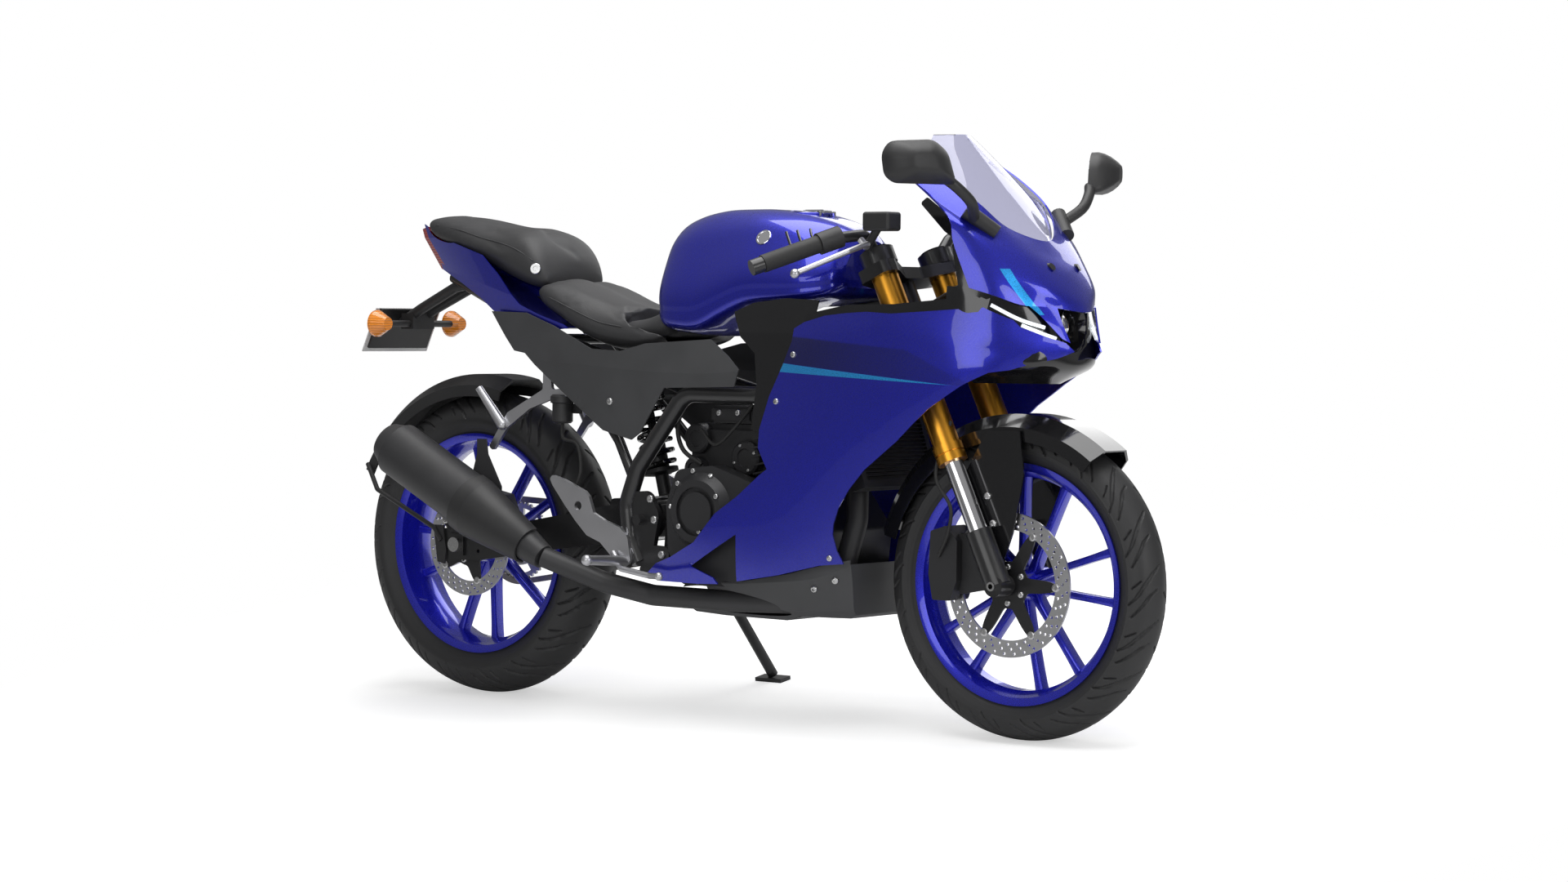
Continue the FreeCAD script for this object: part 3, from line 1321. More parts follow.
def hull(shares, roundness_shares):
    """A smooth solid through upright sections given as (x, half width, low, high)."""
    outlines = []
    for x, half, low, high in shares:
        base = at((x, half, low))
        top = high * SCREEN_HEIGHT
        rise = top - base.z
        points = [V(base.x, y * base.y, base.z + z * rise) for y, z in roundness_shares]
        points += [V(p.x, -p.y, p.z) for p in reversed(points[1:-1])]
        outlines.append(closed_spline(points))
    return lofted(outlines)


TANK_ROUND_SHARES = [(0, 1), (0.45, 0.97), (0.8, 0.82), (0.97, 0.55), (0.98, 0.3), (0.86, 0.08), (0, 0)]
TANK_SHARES = [
    (0.32, 0.121, 0.66, 0.695), (0.334, 0.154, 0.653, 0.744),
    (0.364, 0.177, 0.649, 0.816), (0.408, 0.19, 0.649, 0.861),
    (0.479, 0.201, 0.654, 0.877), (0.554, 0.204, 0.67, 0.875),
    (0.629, 0.193, 0.695, 0.864), (0.682, 0.163, 0.707, 0.838),
    (0.723, 0.116, 0.715, 0.794),
]
CAP_SHARE = (0.61, 0.874)
CAP_SINK = 10.0


@lru_cache
def fuel_tank():
    """The tank with a flat ring round its filler."""
    body = hull(TANK_SHARES, TANK_ROUND_SHARES)
    centre = flat(CAP_SHARE, 0)
    ring = rod(centre - V(0, 0, CAP_SINK * 4), centre, CAP_RING_RADIUS)
    well = rod(centre - V(0, 0, CAP_THICKNESS), centre + V(0, 0, OVERRUN), CAP_RADIUS + CAP_GAP)
    hinge_x = centre.x + CAP_RADIUS + CAP_HINGE_RADIUS
    lug = cap_hinge(CAP_HINGE_LENGTH * 2)
    pin = rod(V(hinge_x, -CAP_HINGE_LENGTH, centre.z), V(hinge_x, CAP_HINGE_LENGTH, centre.z),
              CAP_PIN_RADIUS)
    gap = CAP_HINGE_LENGTH / 2 + SPACER_GAP / 2
    room = Part.makeBox(4 * CAP_HINGE_RADIUS, 2 * gap, OVERRUN,
                        V(hinge_x - 2.6 * CAP_HINGE_RADIUS, -gap, centre.z - CAP_THICKNESS))
    body = joined([body, ring, lug]).cut(well).cut(room)
    return joined([body, pin])


CAP_GAP = 1.5


def cap_hinge(length):
    """A knuckle ahead of the filler cap."""
    centre = flat(CAP_SHARE, 0)
    x = centre.x + CAP_RADIUS + CAP_HINGE_RADIUS
    return rod(V(x, -length / 2, centre.z), V(x, length / 2, centre.z), CAP_HINGE_RADIUS)


@lru_cache
def fuel_cap():
    """The lockable filler cap with its hinge knuckle at the front."""
    centre = flat(CAP_SHARE, 0)
    low = centre - V(0, 0, CAP_THICKNESS - SEAT_GAP)
    disc_body = rod(low, low + V(0, 0, CAP_THICKNESS + CAP_GAP), CAP_RADIUS)
    knuckle = cap_hinge(CAP_HINGE_LENGTH)
    arm = box(V(centre.x, -CAP_HINGE_LENGTH / 2, centre.z - CAP_PIN_RADIUS / 2),
              V(centre.x + CAP_RADIUS + CAP_HINGE_RADIUS, CAP_HINGE_LENGTH / 2,
                centre.z + CAP_HINGE_RADIUS))
    lock = rod(centre, centre + V(0, 0, CAP_THICKNESS / 2), CAP_RADIUS / 3)
    body = joined([disc_body, knuckle, arm, lock])
    x = centre.x + CAP_RADIUS + CAP_HINGE_RADIUS
    return body.cut(rod(V(x, -CAP_RADIUS, centre.z), V(x, CAP_RADIUS, centre.z),
                        CAP_PIN_RADIUS + FIT))


SEAT_ROUND_SHARES = [(0, 1), (0.55, 0.97), (0.88, 0.8), (1, 0.5), (0.95, 0.15), (0.8, 0), (0, 0)]
RIDER_SEAT_SHARES = [
    (0.147, 0.132, 0.73, 0.742), (0.159, 0.154, 0.712, 0.758),
    (0.196, 0.174, 0.689, 0.753), (0.24, 0.182, 0.663, 0.735),
    (0.292, 0.179, 0.64, 0.714), (0.337, 0.177, 0.633, 0.702),
    (0.382, 0.177, 0.639, 0.682), (0.412, 0.16, 0.654, 0.672),
]
PILLION_SHARES = [
    (-0.112, 0.066, 0.849, 0.863), (-0.09, 0.102, 0.835, 0.874),
    (-0.03, 0.13, 0.812, 0.868), (0.037, 0.146, 0.786, 0.854),
    (0.09, 0.154, 0.761, 0.849), (0.131, 0.154, 0.746, 0.837),
    (0.154, 0.141, 0.742, 0.805), (0.166, 0.124, 0.744, 0.765),
]


@lru_cache
def rider_seat():
    """The rider's seat, shaped round the tank's tail."""
    body = hull(RIDER_SEAT_SHARES, SEAT_ROUND_SHARES)
    for tool in (fuel_tank(), pillion_seat(), subframe()):
        body = body.cut(tool)
    return largest(body)


@lru_cache
def pillion_seat():
    """The raised passenger's seat."""
    body = hull(PILLION_SHARES, SEAT_ROUND_SHARES)
    return largest(body.cut(subframe()))


# panels


TAIL_RAILS_SHARES = [
    [
    (-0.135, -0.041, 0.886), (-0.075, -0.086, 0.886), (0.03, -0.138, 0.886),
    (0.135, -0.166, 0.886), (0.247, -0.182, 0.886),
],
    [
    (-0.132, -0.055, 0.833), (-0.06, -0.11, 0.833), (0.037, -0.16, 0.833),
    (0.135, -0.179, 0.816), (0.247, -0.19, 0.789),
],
    [
    (-0.09, -0.061, 0.772), (-0.022, -0.113, 0.765), (0.052, -0.152, 0.746),
    (0.15, -0.185, 0.719), (0.247, -0.193, 0.702),
],
    [
    (-0.09, -0.041, 0.649), (-0.022, -0.083, 0.649), (0.052, -0.124, 0.649),
    (0.15, -0.166, 0.649), (0.247, -0.182, 0.649),
],
]
TAIL_OUTLINE_SHARES = [
    (-0.124, 0.858), (-0.045, 0.828), (0.046, 0.8), (0.084, 0.765), (0.112, 0.732),
    (0.132, 0.712), (0.172, 0.695), (0.225, 0.677), (0.234, 0.67), (0.18, 0.664),
    (0.112, 0.671), (0.073, 0.697), (0.034, 0.726), (-0.015, 0.753), (-0.06, 0.775),
]
TAIL_TRAY_SHARES = [
    (-0.075, 0.786), (-0.015, 0.76), (0.034, 0.735), (0.073, 0.707), (0.112, 0.681),
    (0.18, 0.674), (0.18, 0.67), (0.112, 0.668), (0.073, 0.694), (0.034, 0.723),
    (-0.015, 0.749), (-0.075, 0.775),
]
SIDE_COVER_RAILS_SHARES = [
    [
    (0.045, -0.154, 0.728), (0.15, -0.185, 0.728), (0.3, -0.196, 0.728), (0.449, -0.21, 0.728),
    (0.614, -0.223, 0.728),
],
    [
    (0.045, -0.157, 0.654), (0.15, -0.188, 0.654), (0.3, -0.204, 0.654),
    (0.449, -0.218, 0.654), (0.614, -0.232, 0.654),
],
    [
    (0.045, -0.152, 0.614), (0.15, -0.185, 0.614), (0.3, -0.212, 0.605),
    (0.449, -0.232, 0.596), (0.614, -0.243, 0.605),
],
    [
    (0.045, -0.149, 0.561), (0.15, -0.179, 0.561), (0.3, -0.207, 0.544),
    (0.449, -0.221, 0.526), (0.614, -0.232, 0.526),
],
    [
    (0.045, -0.146, 0.456), (0.15, -0.174, 0.456), (0.3, -0.196, 0.456),
    (0.449, -0.204, 0.456), (0.614, -0.215, 0.456),
],
]
SIDE_COVER_SHARES = [
    (0.071, 0.699), (0.124, 0.629), (0.148, 0.625), (0.169, 0.605), (0.311, 0.493),
    (0.367, 0.478), (0.386, 0.491), (0.438, 0.57), (0.573, 0.575), (0.583, 0.604),
    (0.56, 0.627), (0.524, 0.655), (0.397, 0.646), (0.348, 0.632), (0.288, 0.635),
    (0.21, 0.674), (0.15, 0.697),
]
INNER_RAILS_SHARES = [
    [
    (0.554, -0.207, 0.754), (0.599, -0.21, 0.754), (0.644, -0.212, 0.754),
    (0.719, -0.218, 0.754),
],
    [
    (0.554, -0.218, 0.667), (0.599, -0.221, 0.667), (0.644, -0.223, 0.667),
    (0.719, -0.232, 0.667),
],
    [
    (0.554, -0.221, 0.474), (0.599, -0.223, 0.474), (0.644, -0.226, 0.474),
    (0.719, -0.232, 0.474),
],
]
INNER_PANEL_SHARES = [
    (0.563, 0.702), (0.599, 0.718), (0.659, 0.726), (0.719, 0.723), (0.697, 0.614),
    (0.667, 0.526), (0.637, 0.491), (0.599, 0.504), (0.608, 0.579), (0.604, 0.632),
    (0.577, 0.66),
]
COWL_RAILS_SHARES = [
    [
    (0.404, -0.201, 0.211), (0.524, -0.218, 0.211), (0.644, -0.218, 0.211),
    (0.749, -0.207, 0.211), (0.861, -0.193, 0.211), (0.974, -0.152, 0.211),
    (1.064, -0.083, 0.211),
],
    [
    (0.404, -0.212, 0.263), (0.524, -0.229, 0.263), (0.644, -0.232, 0.263),
    (0.749, -0.226, 0.263), (0.861, -0.207, 0.263), (0.974, -0.166, 0.263),
    (1.064, -0.097, 0.263),
],
    [
    (0.404, -0.221, 0.368), (0.524, -0.241, 0.377), (0.629, -0.254, 0.43),
    (0.749, -0.265, 0.487), (0.861, -0.259, 0.544), (0.954, -0.234, 0.581),
    (1.079, -0.166, 0.605),
],
    [
    (0.404, -0.218, 0.605), (0.524, -0.232, 0.605), (0.644, -0.251, 0.614),
    (0.749, -0.27, 0.625), (0.861, -0.279, 0.633), (0.974, -0.259, 0.64),
    (1.12, -0.154, 0.647),
],
    [
    (0.404, -0.207, 0.667), (0.524, -0.223, 0.667), (0.652, -0.243, 0.671),
    (0.749, -0.259, 0.689), (0.861, -0.27, 0.698), (0.974, -0.243, 0.689),
    (1.109, -0.138, 0.674),
],
    [
    (0.404, -0.193, 0.746), (0.524, -0.207, 0.746), (0.652, -0.221, 0.746),
    (0.749, -0.232, 0.746), (0.861, -0.237, 0.746), (0.974, -0.207, 0.746),
    (1.079, -0.124, 0.746),
],
]
COWL_OUTLINE_SHARES = [
    (0.685, 0.675), (0.703, 0.686), (0.742, 0.697), (0.779, 0.702), (0.824, 0.704),
    (0.896, 0.709), (0.966, 0.714), (0.995, 0.716), (1.031, 0.703), (1.05, 0.682),
    (1.087, 0.663), (1.115, 0.653), (1.118, 0.645), (1.081, 0.618), (1.049, 0.612),
    (1.017, 0.611), (0.986, 0.605), (0.954, 0.588), (0.922, 0.566), (0.888, 0.535),
    (0.855, 0.496), (0.819, 0.456), (0.798, 0.434), (0.783, 0.408), (0.766, 0.377),
    (0.756, 0.351), (0.755, 0.333), (0.761, 0.307), (0.771, 0.285), (0.732, 0.281),
    (0.66, 0.261), (0.585, 0.246), (0.548, 0.239), (0.509, 0.237), (0.43, 0.237),
    (0.411, 0.25), (0.431, 0.268), (0.462, 0.281), (0.51, 0.309), (0.551, 0.36), (0.592, 0.39),
    (0.632, 0.428), (0.646, 0.439), (0.628, 0.474), (0.629, 0.504), (0.645, 0.561),
    (0.667, 0.614), (0.682, 0.654),
]
COWL_VENT_SHARES = [
    (0.5, 0.267), (0.541, 0.249), (0.583, 0.253), (0.589, 0.326),
]
BELLY_RAILS_SHARES = [
    [
    (0.404, -0.132, 0.298), (0.524, -0.163, 0.298), (0.637, -0.201, 0.307),
    (0.719, -0.207, 0.307), (0.758, -0.177, 0.307),
],
    [
    (0.404, -0.127, 0.235), (0.524, -0.16, 0.235), (0.637, -0.196, 0.246),
    (0.719, -0.201, 0.26), (0.76, -0.171, 0.281),
],
    [
    (0.404, -0.116, 0.204), (0.524, -0.143, 0.2), (0.637, -0.163, 0.198), (0.719, -0.163, 0.2),
    (0.757, -0.143, 0.204),
],
    [
    (0.404, -0.083, 0.172), (0.524, -0.102, 0.172), (0.637, -0.116, 0.172),
    (0.719, -0.116, 0.172), (0.749, -0.108, 0.172),
],
]
BELLY_OUTLINE_SHARES = [
    (0.506, 0.237), (0.548, 0.239), (0.585, 0.246), (0.66, 0.261), (0.732, 0.282),
    (0.759, 0.289), (0.755, 0.195), (0.746, 0.189), (0.659, 0.188), (0.629, 0.178),
    (0.509, 0.178), (0.449, 0.181), (0.419, 0.211), (0.449, 0.235),
]
BELLY_FLOOR_SHARES = [
    (0.449, 0.181), (0.509, 0.178), (0.629, 0.178), (0.659, 0.188), (0.746, 0.189),
    (0.746, 0.191), (0.659, 0.19), (0.629, 0.181), (0.509, 0.181), (0.449, 0.183),
]
BELLY_FRONT_SHARES = [
    (0.746, 0.189), (0.755, 0.195), (0.761, 0.282), (0.758, 0.282), (0.752, 0.196),
    (0.746, 0.191),
]
BELLY_FLOOR_HALF_WIDTH = 84.0
UPPER_RAILS_SHARES = [
    [
    (0.888, -0.221, 0.918), (0.929, -0.204, 0.9), (0.972, -0.168, 0.868),
    (1.007, -0.094, 0.84), (1.022, 0, 0.83),
],
    [
    (0.903, -0.254, 0.877), (0.95, -0.234, 0.854), (1, -0.185, 0.828), (1.037, -0.102, 0.811),
    (1.052, 0, 0.802),
],
    [
    (0.915, -0.269, 0.816), (0.972, -0.248, 0.794), (1.022, -0.193, 0.775),
    (1.064, -0.102, 0.761), (1.079, 0, 0.753),
],
    [
    (0.923, -0.27, 0.747), (0.98, -0.248, 0.739), (1.034, -0.19, 0.725),
    (1.077, -0.102, 0.707), (1.096, 0, 0.695),
],
]
DUCT_RAILS_SHARES = [
    [
    (0.945, -0.237, 0.747), (0.989, -0.212, 0.747), (1.032, -0.163, 0.747),
    (1.064, -0.091, 0.747), (1.073, 0, 0.747),
],
    [
    (0.945, -0.237, 0.702), (0.989, -0.21, 0.702), (1.037, -0.157, 0.702),
    (1.067, -0.077, 0.702), (1.064, 0, 0.702),
],
    [
    (0.945, -0.232, 0.667), (0.996, -0.204, 0.667), (1.049, -0.146, 0.667),
    (1.073, -0.069, 0.667), (1.056, 0, 0.667),
],
    [
    (0.945, -0.226, 0.619), (0.996, -0.199, 0.619), (1.049, -0.143, 0.619),
    (1.079, -0.069, 0.619), (1.083, 0, 0.619),
],
]
DUCT_OUTLINE_SHARES = [
    (0.945, 0.747), (0.98, 0.733), (1.034, 0.719), (1.077, 0.702), (1.101, 0.689),
    (1.109, 0.619), (0.945, 0.619),
]
SCREEN_RAILS_SHARES = [
    [
    (0.867, -0.086, 0.999), (0.88, -0.047, 1), (0.887, 0, 1.001),
],
    [
    (0.869, -0.135, 0.965), (0.894, -0.08, 0.968), (0.906, 0, 0.97),
],
    [
    (0.893, -0.16, 0.921), (0.929, -0.091, 0.923), (0.944, 0, 0.924),
],
    [
    (0.926, -0.174, 0.881), (0.965, -0.097, 0.879), (0.981, 0, 0.879),
],
    [
    (0.963, -0.171, 0.844), (1.001, -0.094, 0.84), (1.016, 0, 0.838),
],
    [
    (0.978, -0.163, 0.83), (1.011, -0.091, 0.825), (1.027, 0, 0.822),
],
]


def prism(shares):
    """The space that a side-view outline covers on the right-hand side."""
    return shape_of(shares, -OVERALL_WIDTH, 0)


def trimmed(rails, outline, wall):
    """A right-hand panel cut to its side-view outline."""
    return largest(skin(rails, wall).common(prism(outline)))


@lru_cache
def tail_cowl():
    """The pointed tail: two side panels and the tray that joins them."""
    panel = trimmed(TAIL_RAILS_SHARES, TAIL_OUTLINE_SHARES, PANEL_WALL)
    space = filled(TAIL_RAILS_SHARES)
    tray = shape_of(TAIL_TRAY_SHARES, -OVERALL_WIDTH, FIT).common(space)
    side = joined([panel, tray])
    body = joined([side, mirrored(side)])
    for tool in (pillion_seat(), rider_seat(), subframe()):
        body = body.cut(tool)
    return largest(body)


@lru_cache
def side_covers():
    """The grey covers below the seat, one on each side."""
    cover = trimmed(SIDE_COVER_RAILS_SHARES, SIDE_COVER_SHARES, PANEL_WALL)
    for tool in (tail_cowl(), rider_seat(), fuel_tank(), main_frame(), subframe()):
        cover = cover.cut(tool)
    boss = across(COVER_BOSS_SHARE, at(SIDE_COVER_RAILS_SHARES[1][2]).y + PANEL_WALL / 2,
                  at(SUBFRAME_SHARES[2]).y - RAIL_RADIUS * BRACE_SHARE, BOLT_BOSS_RADIUS)
    return both_sides(largest(joined([largest(cover), boss]).cut(subframe())))


COVER_BOSS_SHARE = (0.27, 0.541)
INNER_BOSS_SHARE = (0.622, 0.57)


@lru_cache
def inner_panels():
    """The black panels between the tank and the side cowls."""
    panel = trimmed(INNER_RAILS_SHARES, INNER_PANEL_SHARES, PANEL_WALL)
    for tool in (fuel_tank(), side_covers(), main_frame(), engine_covers()):
        panel = panel.cut(tool)
    boss = across(INNER_BOSS_SHARE, at(INNER_RAILS_SHARES[1][1]).y + PANEL_WALL / 2,
                  at(SPAR_SHARES[3]).y, BOLT_BOSS_RADIUS)
    return both_sides(largest(joined([largest(panel), boss]).cut(main_frame())))


@lru_cache
def side_cowls():
    """The large side cowls with their pointed beaks and lower vents."""
    cowl = trimmed(COWL_RAILS_SHARES, COWL_OUTLINE_SHARES, PANEL_WALL)
    cowl = largest(cowl.cut(prism(COWL_VENT_SHARES)).cut(main_frame()))
    return both_sides(cowl)


@lru_cache
def belly_cowl():
    """The dark belly pan with its closed front face."""
    panel = trimmed(BELLY_RAILS_SHARES, BELLY_OUTLINE_SHARES, PANEL_WALL)
    floor = shape_of(BELLY_FLOOR_SHARES, -BELLY_FLOOR_HALF_WIDTH, FIT)
    front = shape_of(BELLY_FRONT_SHARES, -OVERALL_WIDTH, FIT)
    space = filled(BELLY_RAILS_SHARES)
    side = joined([panel, floor.common(space), front.common(space)])
    room = tube([at(share) for share in PIPE_SHARES], PIPE_RADIUS + SIDE_GAP, PIPE_RADIUS * 3)
    body = joined([side, mirrored(side)])
    for tool in (room, engine(), engine_covers(), side_cowls(), main_frame()):
        body = body.cut(tool)
    return largest(body)


@lru_cache
def upper_cowl():
    """The nose between the screen and the lamp duct."""
    half = skin(UPPER_RAILS_SHARES, PANEL_WALL)
    return joined([half, mirrored(half)])


@lru_cache
def lamp_duct():
    """The black duct below the nose, hollowed round the main lamp."""
    half = filled(DUCT_RAILS_SHARES).common(prism(DUCT_OUTLINE_SHARES))
    body = joined([half, mirrored(half)])
    centre = at(LAMP_SHARE)
    hole = cone(centre - V(PROJECTOR_LENGTH, 0, 0), centre + V(PROJECTOR_LENGTH * 2, 0, 0),
                PROJECTOR_RADIUS + CAP_GAP, PROJECTOR_RADIUS * DUCT_FLARE_SHARE)
    body = body.cut(hole)
    for tool in (upper_cowl(), side_cowls()):
        body = body.cut(tool)
    return largest(body)


LAMP_SHARE = (1.013, 0, 0.689)
DUCT_FLARE_SHARE = 2.4


@lru_cache
def headlamp():
    """The round projector lamp in the duct."""
    centre = at(LAMP_SHARE)
    body = rod(centre - V(PROJECTOR_LENGTH, 0, 0), centre, PROJECTOR_RADIUS)
    lens = ball(centre - V(PROJECTOR_RADIUS / 2, 0, 0), PROJECTOR_RADIUS * LENS_SHARE)
    return joined([body, lens])


LENS_SHARE = 0.95


@lru_cache
def windscreen():
    """The clear screen, joined at its middle line."""
    half = skin(SCREEN_RAILS_SHARES, SCREEN_WALL)
    body = joined([half, mirrored(half)])
    return largest(body.cut(upper_cowl()))


@lru_cache
def instrument():
    """The display behind the screen."""
    return soft_shape(DASH_SHARES, -DASH_HALF_WIDTH, DASH_HALF_WIDTH, CALIPER_FILLET)


DASH_SHARES = [
    (0.839, 0.886), (0.881, 0.839), (0.945, 0.789), (0.963, 0.794), (0.951, 0.82),
    (0.891, 0.864), (0.851, 0.896),
]
DASH_HALF_WIDTH = 58.0
NOSE_STAY_SHARES = [
    (0.813, -0.019, 0.702), (0.91, -0.022, 0.76), (0.951, -0.063, 0.781),
    (1.079, -0.063, 0.781),
]


@lru_cache
def nose_stay():
    """The bracket that carries the nose and the display from the head tube."""
    stay = tube([at(share) for share in NOSE_STAY_SHARES], RAIL_RADIUS / 2, RAIL_RADIUS)
    corner = at(NOSE_STAY_SHARES[2])
    cross = rod(corner, mirrored_point(NOSE_STAY_SHARES[2]), RAIL_RADIUS / 2)
    lug = rod(corner, corner + V(0, 0, RAIL_RADIUS * 2), RAIL_RADIUS / 2)
    body = joined([stay, mirrored(stay), cross, lug, mirrored(lug)])
    for tool in (main_frame(), instrument(), upper_cowl()):
        body = body.cut(tool)
    return largest(body)


def mirrored_point(share):
    """The left-hand twin of a place in space."""
    point = at(share)
    return V(point.x, -point.y, point.z)


# mirrors


MIRROR_HEAD_SHARES = [
    (0.938, -0.306, 0.923), (0.945, -0.361, 0.958), (0.966, -0.455, 0.972),
    (0.981, -0.497, 0.956), (0.978, -0.491, 0.928), (0.96, -0.414, 0.907),
    (0.941, -0.331, 0.904),
]
MIRROR_DEPTH = 46.0
MIRROR_SEAT_SHARES = [
    (0.976, -0.232, 0.87), (0.976, -0.152, 0.832),
]
MIRROR_NECK_SHARES = [
    (0.976, -0.218, 0.864), (0.983, -0.27, 0.895), (0.974, -0.326, 0.919),
]


@lru_cache
def mirrors():
    """Two mirrors: a base on the nose, a stalk and a tapering head."""
    head_points = [at(share) for share in MIRROR_HEAD_SHARES]
    middle = V(0, 0, 0)
    for point in head_points:
        middle = middle + point
    middle = middle * (1.0 / len(head_points))
    flat_points = [V(middle.x, p.y, p.z) for p in head_points]
    outlines = []
    for share, scale in MIRROR_SECTION_SHARES:
        points = [middle + (p - middle) * scale + V(MIRROR_DEPTH * share, 0, 0)
                  for p in flat_points]
        outlines.append(closed_spline(points))
    head = lofted(outlines)
    head.rotate(middle, V(0, 0, 1), MIRROR_TURN_DEG)
    stalk = tube([at(share) for share in MIRROR_NECK_SHARES], MIRROR_STALK_RADIUS,
                 MIRROR_STALK_RADIUS)
    base = rod(at(MIRROR_SEAT_SHARES[0]), at(MIRROR_SEAT_SHARES[1]), MIRROR_BASE_WIDTH / 2)
    body = joined([head, stalk, base])
    body = largest(body.cut(upper_cowl()))
    return both_sides(body)


MIRROR_SECTION_SHARES = [(-0.25, 1.0), (0.0, 1.0), (0.4, 0.8), (0.75, 0.4)]
MIRROR_TURN_DEG = -12.0

# tail pieces


TAIL_LAMP_SHARES = [
    (-0.129, 0.849), (-0.112, 0.853), (-0.064, 0.782), (-0.078, 0.775),
]
HANGER_ARM_SHARES = [
    (-0.015, -0.036, 0.753), (-0.067, -0.036, 0.742), (-0.142, -0.03, 0.702),
    (-0.187, -0.028, 0.674),
]
INDICATOR_SHARE = (-0.161, -0.159, 0.674)
PLATE_TOP_SHARE = (-0.184, 0.702)
PLATE_TILT_DEG = 24.0


@lru_cache
def tail_lamp():
    """The red lamp that closes the tail's tip."""
    body = shape_of(TAIL_LAMP_SHARES, -OVERALL_WIDTH, OVERALL_WIDTH)
    half = filled(TAIL_RAILS_SHARES)
    whole = joined([half, mirrored(half)])
    body = body.common(whole)
    return largest(body.cut(tail_cowl()).cut(pillion_seat()).cut(subframe()))


@lru_cache
def plate_hanger():
    """The arm below the tail that carries the plate and the indicators."""
    arm = tube([at(share) for share in HANGER_ARM_SHARES], HANGER_RADIUS, HANGER_RADIUS * 2)
    lamp = at(INDICATOR_SHARE)
    stalk = rod(V(lamp.x, lamp.y, lamp.z), V(lamp.x, -lamp.y, lamp.z), INDICATOR_STALK_RADIUS)
    foot = box(V(lamp.x - HANGER_RADIUS * 2, -HANGER_RADIUS * 3, lamp.z - HANGER_RADIUS),
               V(lamp.x + HANGER_RADIUS, HANGER_RADIUS * 3, lamp.z + HANGER_RADIUS * 2))
    top = flat(PLATE_TOP_SHARE, 0)
    back = box(top + V(0, -PLATE_WIDTH / 2 * BACK_SHARE, -PLATE_HEIGHT * BACK_SHARE),
               top + V(HANGER_RADIUS / 2, PLATE_WIDTH / 2 * BACK_SHARE, 0))
    back.rotate(top, V(0, 1, 0), PLATE_TILT_DEG)
    body = joined([arm, mirrored(arm), stalk, foot, back])
    body = body.cut(tail_cowl()).cut(subframe())
    return largest(body.cut(indicators()))


HANGER_RADIUS = 11.0
BACK_SHARE = 0.9


@lru_cache
def number_plate():
    """The blank plate on its carrier, with two fixing holes."""
    top = flat(PLATE_TOP_SHARE, 0)
    plate = box(top + V(-PLATE_THICKNESS, -PLATE_WIDTH / 2, -PLATE_HEIGHT),
                top + V(0, PLATE_WIDTH / 2, 0))
    for side in (RIGHT, LEFT):
        middle = top + V(0, side * PLATE_BOLT_SPACING / 2, -PLATE_HEIGHT / 2)
        plate = plate.cut(rod(middle - V(OVERRUN, 0, 0), middle + V(OVERRUN, 0, 0),
                              PLATE_BOLT_RADIUS))
    plate.rotate(top, V(0, 1, 0), PLATE_TILT_DEG)
    return plate


@lru_cache
def indicators():
    """The two round rear indicators."""
    lamp = at(INDICATOR_SHARE)
    body = cone(lamp + V(INDICATOR_DEPTH / 2, 0, 0), lamp - V(INDICATOR_DEPTH / 3, 0, 0),
                INDICATOR_RADIUS * LENS_SHARE / 2, INDICATOR_RADIUS)
    lens = rod(lamp - V(INDICATOR_DEPTH / 3, 0, 0), lamp - V(INDICATOR_DEPTH / 2, 0, 0),
               INDICATOR_RADIUS)
    return both_sides(joined([body, lens]))


# foot controls


HEEL_SHARES = [
    (0.223, 0.405), (0.228, 0.412), (0.251, 0.405), (0.273, 0.395), (0.292, 0.386),
    (0.3, 0.377), (0.309, 0.349), (0.33, 0.337), (0.36, 0.326), (0.375, 0.309), (0.381, 0.268),
    (0.372, 0.26), (0.352, 0.267), (0.322, 0.298), (0.296, 0.309), (0.274, 0.333),
    (0.252, 0.361), (0.229, 0.393),
]
HEEL_HOLE_SHARE = (0.279, 0.36)
HEEL_HOLE_RADIUS = 9.0
PEG_SHARES = [
    (0.37, -0.229, 0.268), (0.37, -0.394, 0.274),
]
PEDAL_SHARES = [
    (0.352, -0.243, 0.282), (0.375, -0.262, 0.256), (0.434, -0.27, 0.247),
    (0.467, -0.306, 0.249),
]


@lru_cache
def rearsets():
    """The riders' footrests on their brackets, with the heel guards and pedals."""
    low = -BRACKET_Y - BRACKET_THICKNESS
    plate = soft_shape(HEEL_SHARES, low, -BRACKET_Y, ADJUSTER_THICKNESS)
    plate = plate.cut(across(HEEL_HOLE_SHARE, -OVERALL_WIDTH, 0, HEEL_HOLE_RADIUS))
    start, end = [at(share) for share in PEG_SHARES]
    peg = joined([cone(start, end, PEG_RADIUS, PEG_RADIUS * 0.85), ball(end, PEG_RADIUS)])
    pedal = tube([at(share) for share in PEDAL_SHARES], PEDAL_RADIUS, PEDAL_RADIUS * 2)
    tip = ball(at(PEDAL_SHARES[3]), PEDAL_RADIUS * 1.4)
    pieces = [plate, peg, pedal, tip]
    for share in (PIVOT_SHARE, REARSET_BOLT_SHARE):
        pieces.append(rod(flat(share, -BRACKET_Y), flat(share, -PIVOT_PLATE_Y
                          - PIVOT_PLATE_THICKNESS), BOLT_BOSS_RADIUS / 2))
    body = joined([joined([plate, peg, pedal, tip]), foot_bridge()])
    return both_sides(largest(body.cut(main_frame()).cut(engine_covers())))


@lru_cache
def foot_bridge():
    """The two bosses that bolt a footrest bracket to the pivot plate."""
    bosses = [rod(flat(share, -BRACKET_Y - FIT), flat(share, -PIVOT_PLATE_Y - PIVOT_PLATE_THICKNESS),
                  BOLT_BOSS_RADIUS) for share in REARSET_BOLT_SHARES]
    return kept_apart(bosses)


